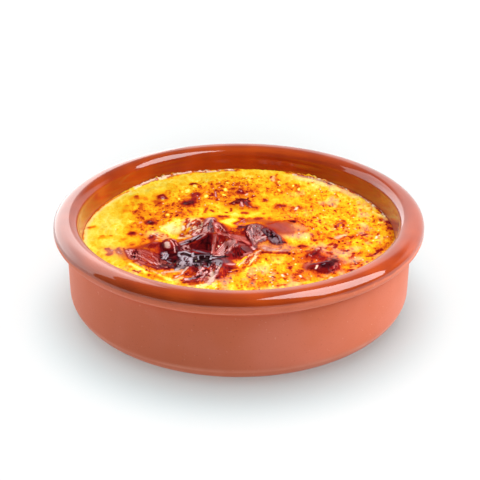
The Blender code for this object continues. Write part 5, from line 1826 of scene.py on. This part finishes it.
@dataclass(frozen=True)
class Sky:
    """A round patch of sky over the floor: how wide it looks, how far it leans, and the floor's share."""

    name: str
    angle: float
    lean: float
    share: float

    def build(self, floor: bpy.types.Object, white: float) -> None:
        """Adds the light over the floor alone.

        Args:
            floor: The floor.
            white: How much light the floor gives back.
        """
        data = bpy.data.lights.new(self.name, "SUN")
        data.angle = math.radians(self.angle)
        data.energy = self.share * math.pi / white / math.cos(math.radians(self.lean))
        light = bpy.data.objects.new(self.name, data)
        light.rotation_euler = (-math.radians(self.lean), 0.0, 0.0)
        hang(light, Reach.FLOOR, floor)


@dataclass(frozen=True)
class Studio:
    """A white table under soft light, with a softbox near the dish on the right and one at the back left."""

    floor_side: float = 6.0
    floor_drop: float = 0.05  # millimetres under the dish
    floor_white: Rgb = (0.785, 0.8, 0.8)
    floor_painted_shade: Rgb = (0.665, 0.78, 0.8)  # painted shade near the dish: a cooler, slightly darker white that cancels the clay's red bounce light
    floor_painted_shade_reach: Place = (0.066, 0.092)  # metres from the dish's axis
    backdrop: float = 1.0  # as the camera sees it
    ambient: float = 0.08  # as the object sees it
    glow: float = 1.1
    glow_top: Place = (0.45, 0.58)  # heights of a way of length 1 between which the glow ends
    glow_spread: Place = (0.25, 0.6)  # and how far back it points where the glow begins
    boxes: tuple[Softbox, ...] = (
        Softbox("softbox_right", (0.174, -0.067, 0.275), 63.6, 37.9, -45.7, 0.263, 0.339, 6.5),
        Softbox("softbox_left", (-0.305, 0.293, 0.317), -50.0, -13.7, 8.5, 0.695, 0.667, 2.0),
    )
    skies: tuple[Sky, ...] = (
        Sky("sky_high", 40.0, 10.0, 0.36),
        Sky("sky_wide", 150.0, -50.0, 0.32),
        Sky("sky_low", 30.0, -74.0, 0.21),
    )

    def floor(self) -> bpy.types.Object:
        """Lays the table top just under the dish, with painted shade near it: a cooler, slightly darker
        white.

        Returns:
            The floor.
        """
        half = self.floor_side / 2 / MM
        signs = ((-1, -1), (1, -1), (1, 1), (-1, 1))
        corners = np.array([(x * half, y * half, -self.floor_drop) for x, y in signs])
        floor = add_piece("floor", corners, np.array([[0, 1, 2, 3]]), np.empty((0, 3), int), {})
        material, nodes, shader = new_material("table_white", {"Roughness": 1.0, "Specular IOR Level": 0.0})
        # painted shade: the white turns cooler and darker towards the dish
        away = nodes.add("ShaderNodeVectorMath", {"operation": "LENGTH"}, {0: nodes.place()}, "Value")
        away = away.between(*self.floor_painted_shade_reach)
        wire(shader, {"Base Color": nodes.mixed(away, self.floor_painted_shade, self.floor_white)})
        floor.data.materials.append(material)
        return floor

    def world(self) -> None:
        """Sets the surroundings: white behind the table, dim all round, and a glow low down at the back."""
        world = bpy.data.worlds.new("studio")
        world.use_nodes = True
        nodes = Nodes(world.node_tree)
        seen = nodes.add("ShaderNodeLightPath", output="Is Camera Ray")
        way = nodes.add("ShaderNodeTexCoord", output="Generated")
        back = nodes.add("ShaderNodeSeparateXYZ", None, {0: way}, "Y").between(*self.glow_spread)
        low = 1.0 - nodes.add("ShaderNodeSeparateXYZ", None, {0: way}, "Z").between(*self.glow_top)
        around = back * low * (self.glow - self.ambient) + self.ambient
        strength = seen * (self.backdrop - around) + around
        background = world.node_tree.nodes["Background"]
        background.inputs["Color"].default_value = (1.0, 1.0, 1.0, 1.0)
        world.node_tree.links.new(strength.socket, background.inputs["Strength"])
        bpy.context.scene.world = world

    def build(self) -> None:
        """Adds the floor, the surroundings and the lights, and shows colours as they are."""
        floor = self.floor()
        self.world()
        for box in self.boxes:
            box.build(floor)
        for sky in self.skies:
            sky.build(floor, max(self.floor_white))
        bpy.context.scene.view_settings.view_transform = "Standard"


def main() -> None:
    """Builds the dish, the custard and the studio."""
    logging.basicConfig(level=logging.INFO, format="%(message)s")
    Camera().build()
    for part in (Cazuela(), Custard()):
        piece = part.build()
        log.info("%s: %d points, %d faces", piece.name, len(piece.data.vertices), len(piece.data.polygons))
    Studio().build()


if __name__ == "__main__":
    main()
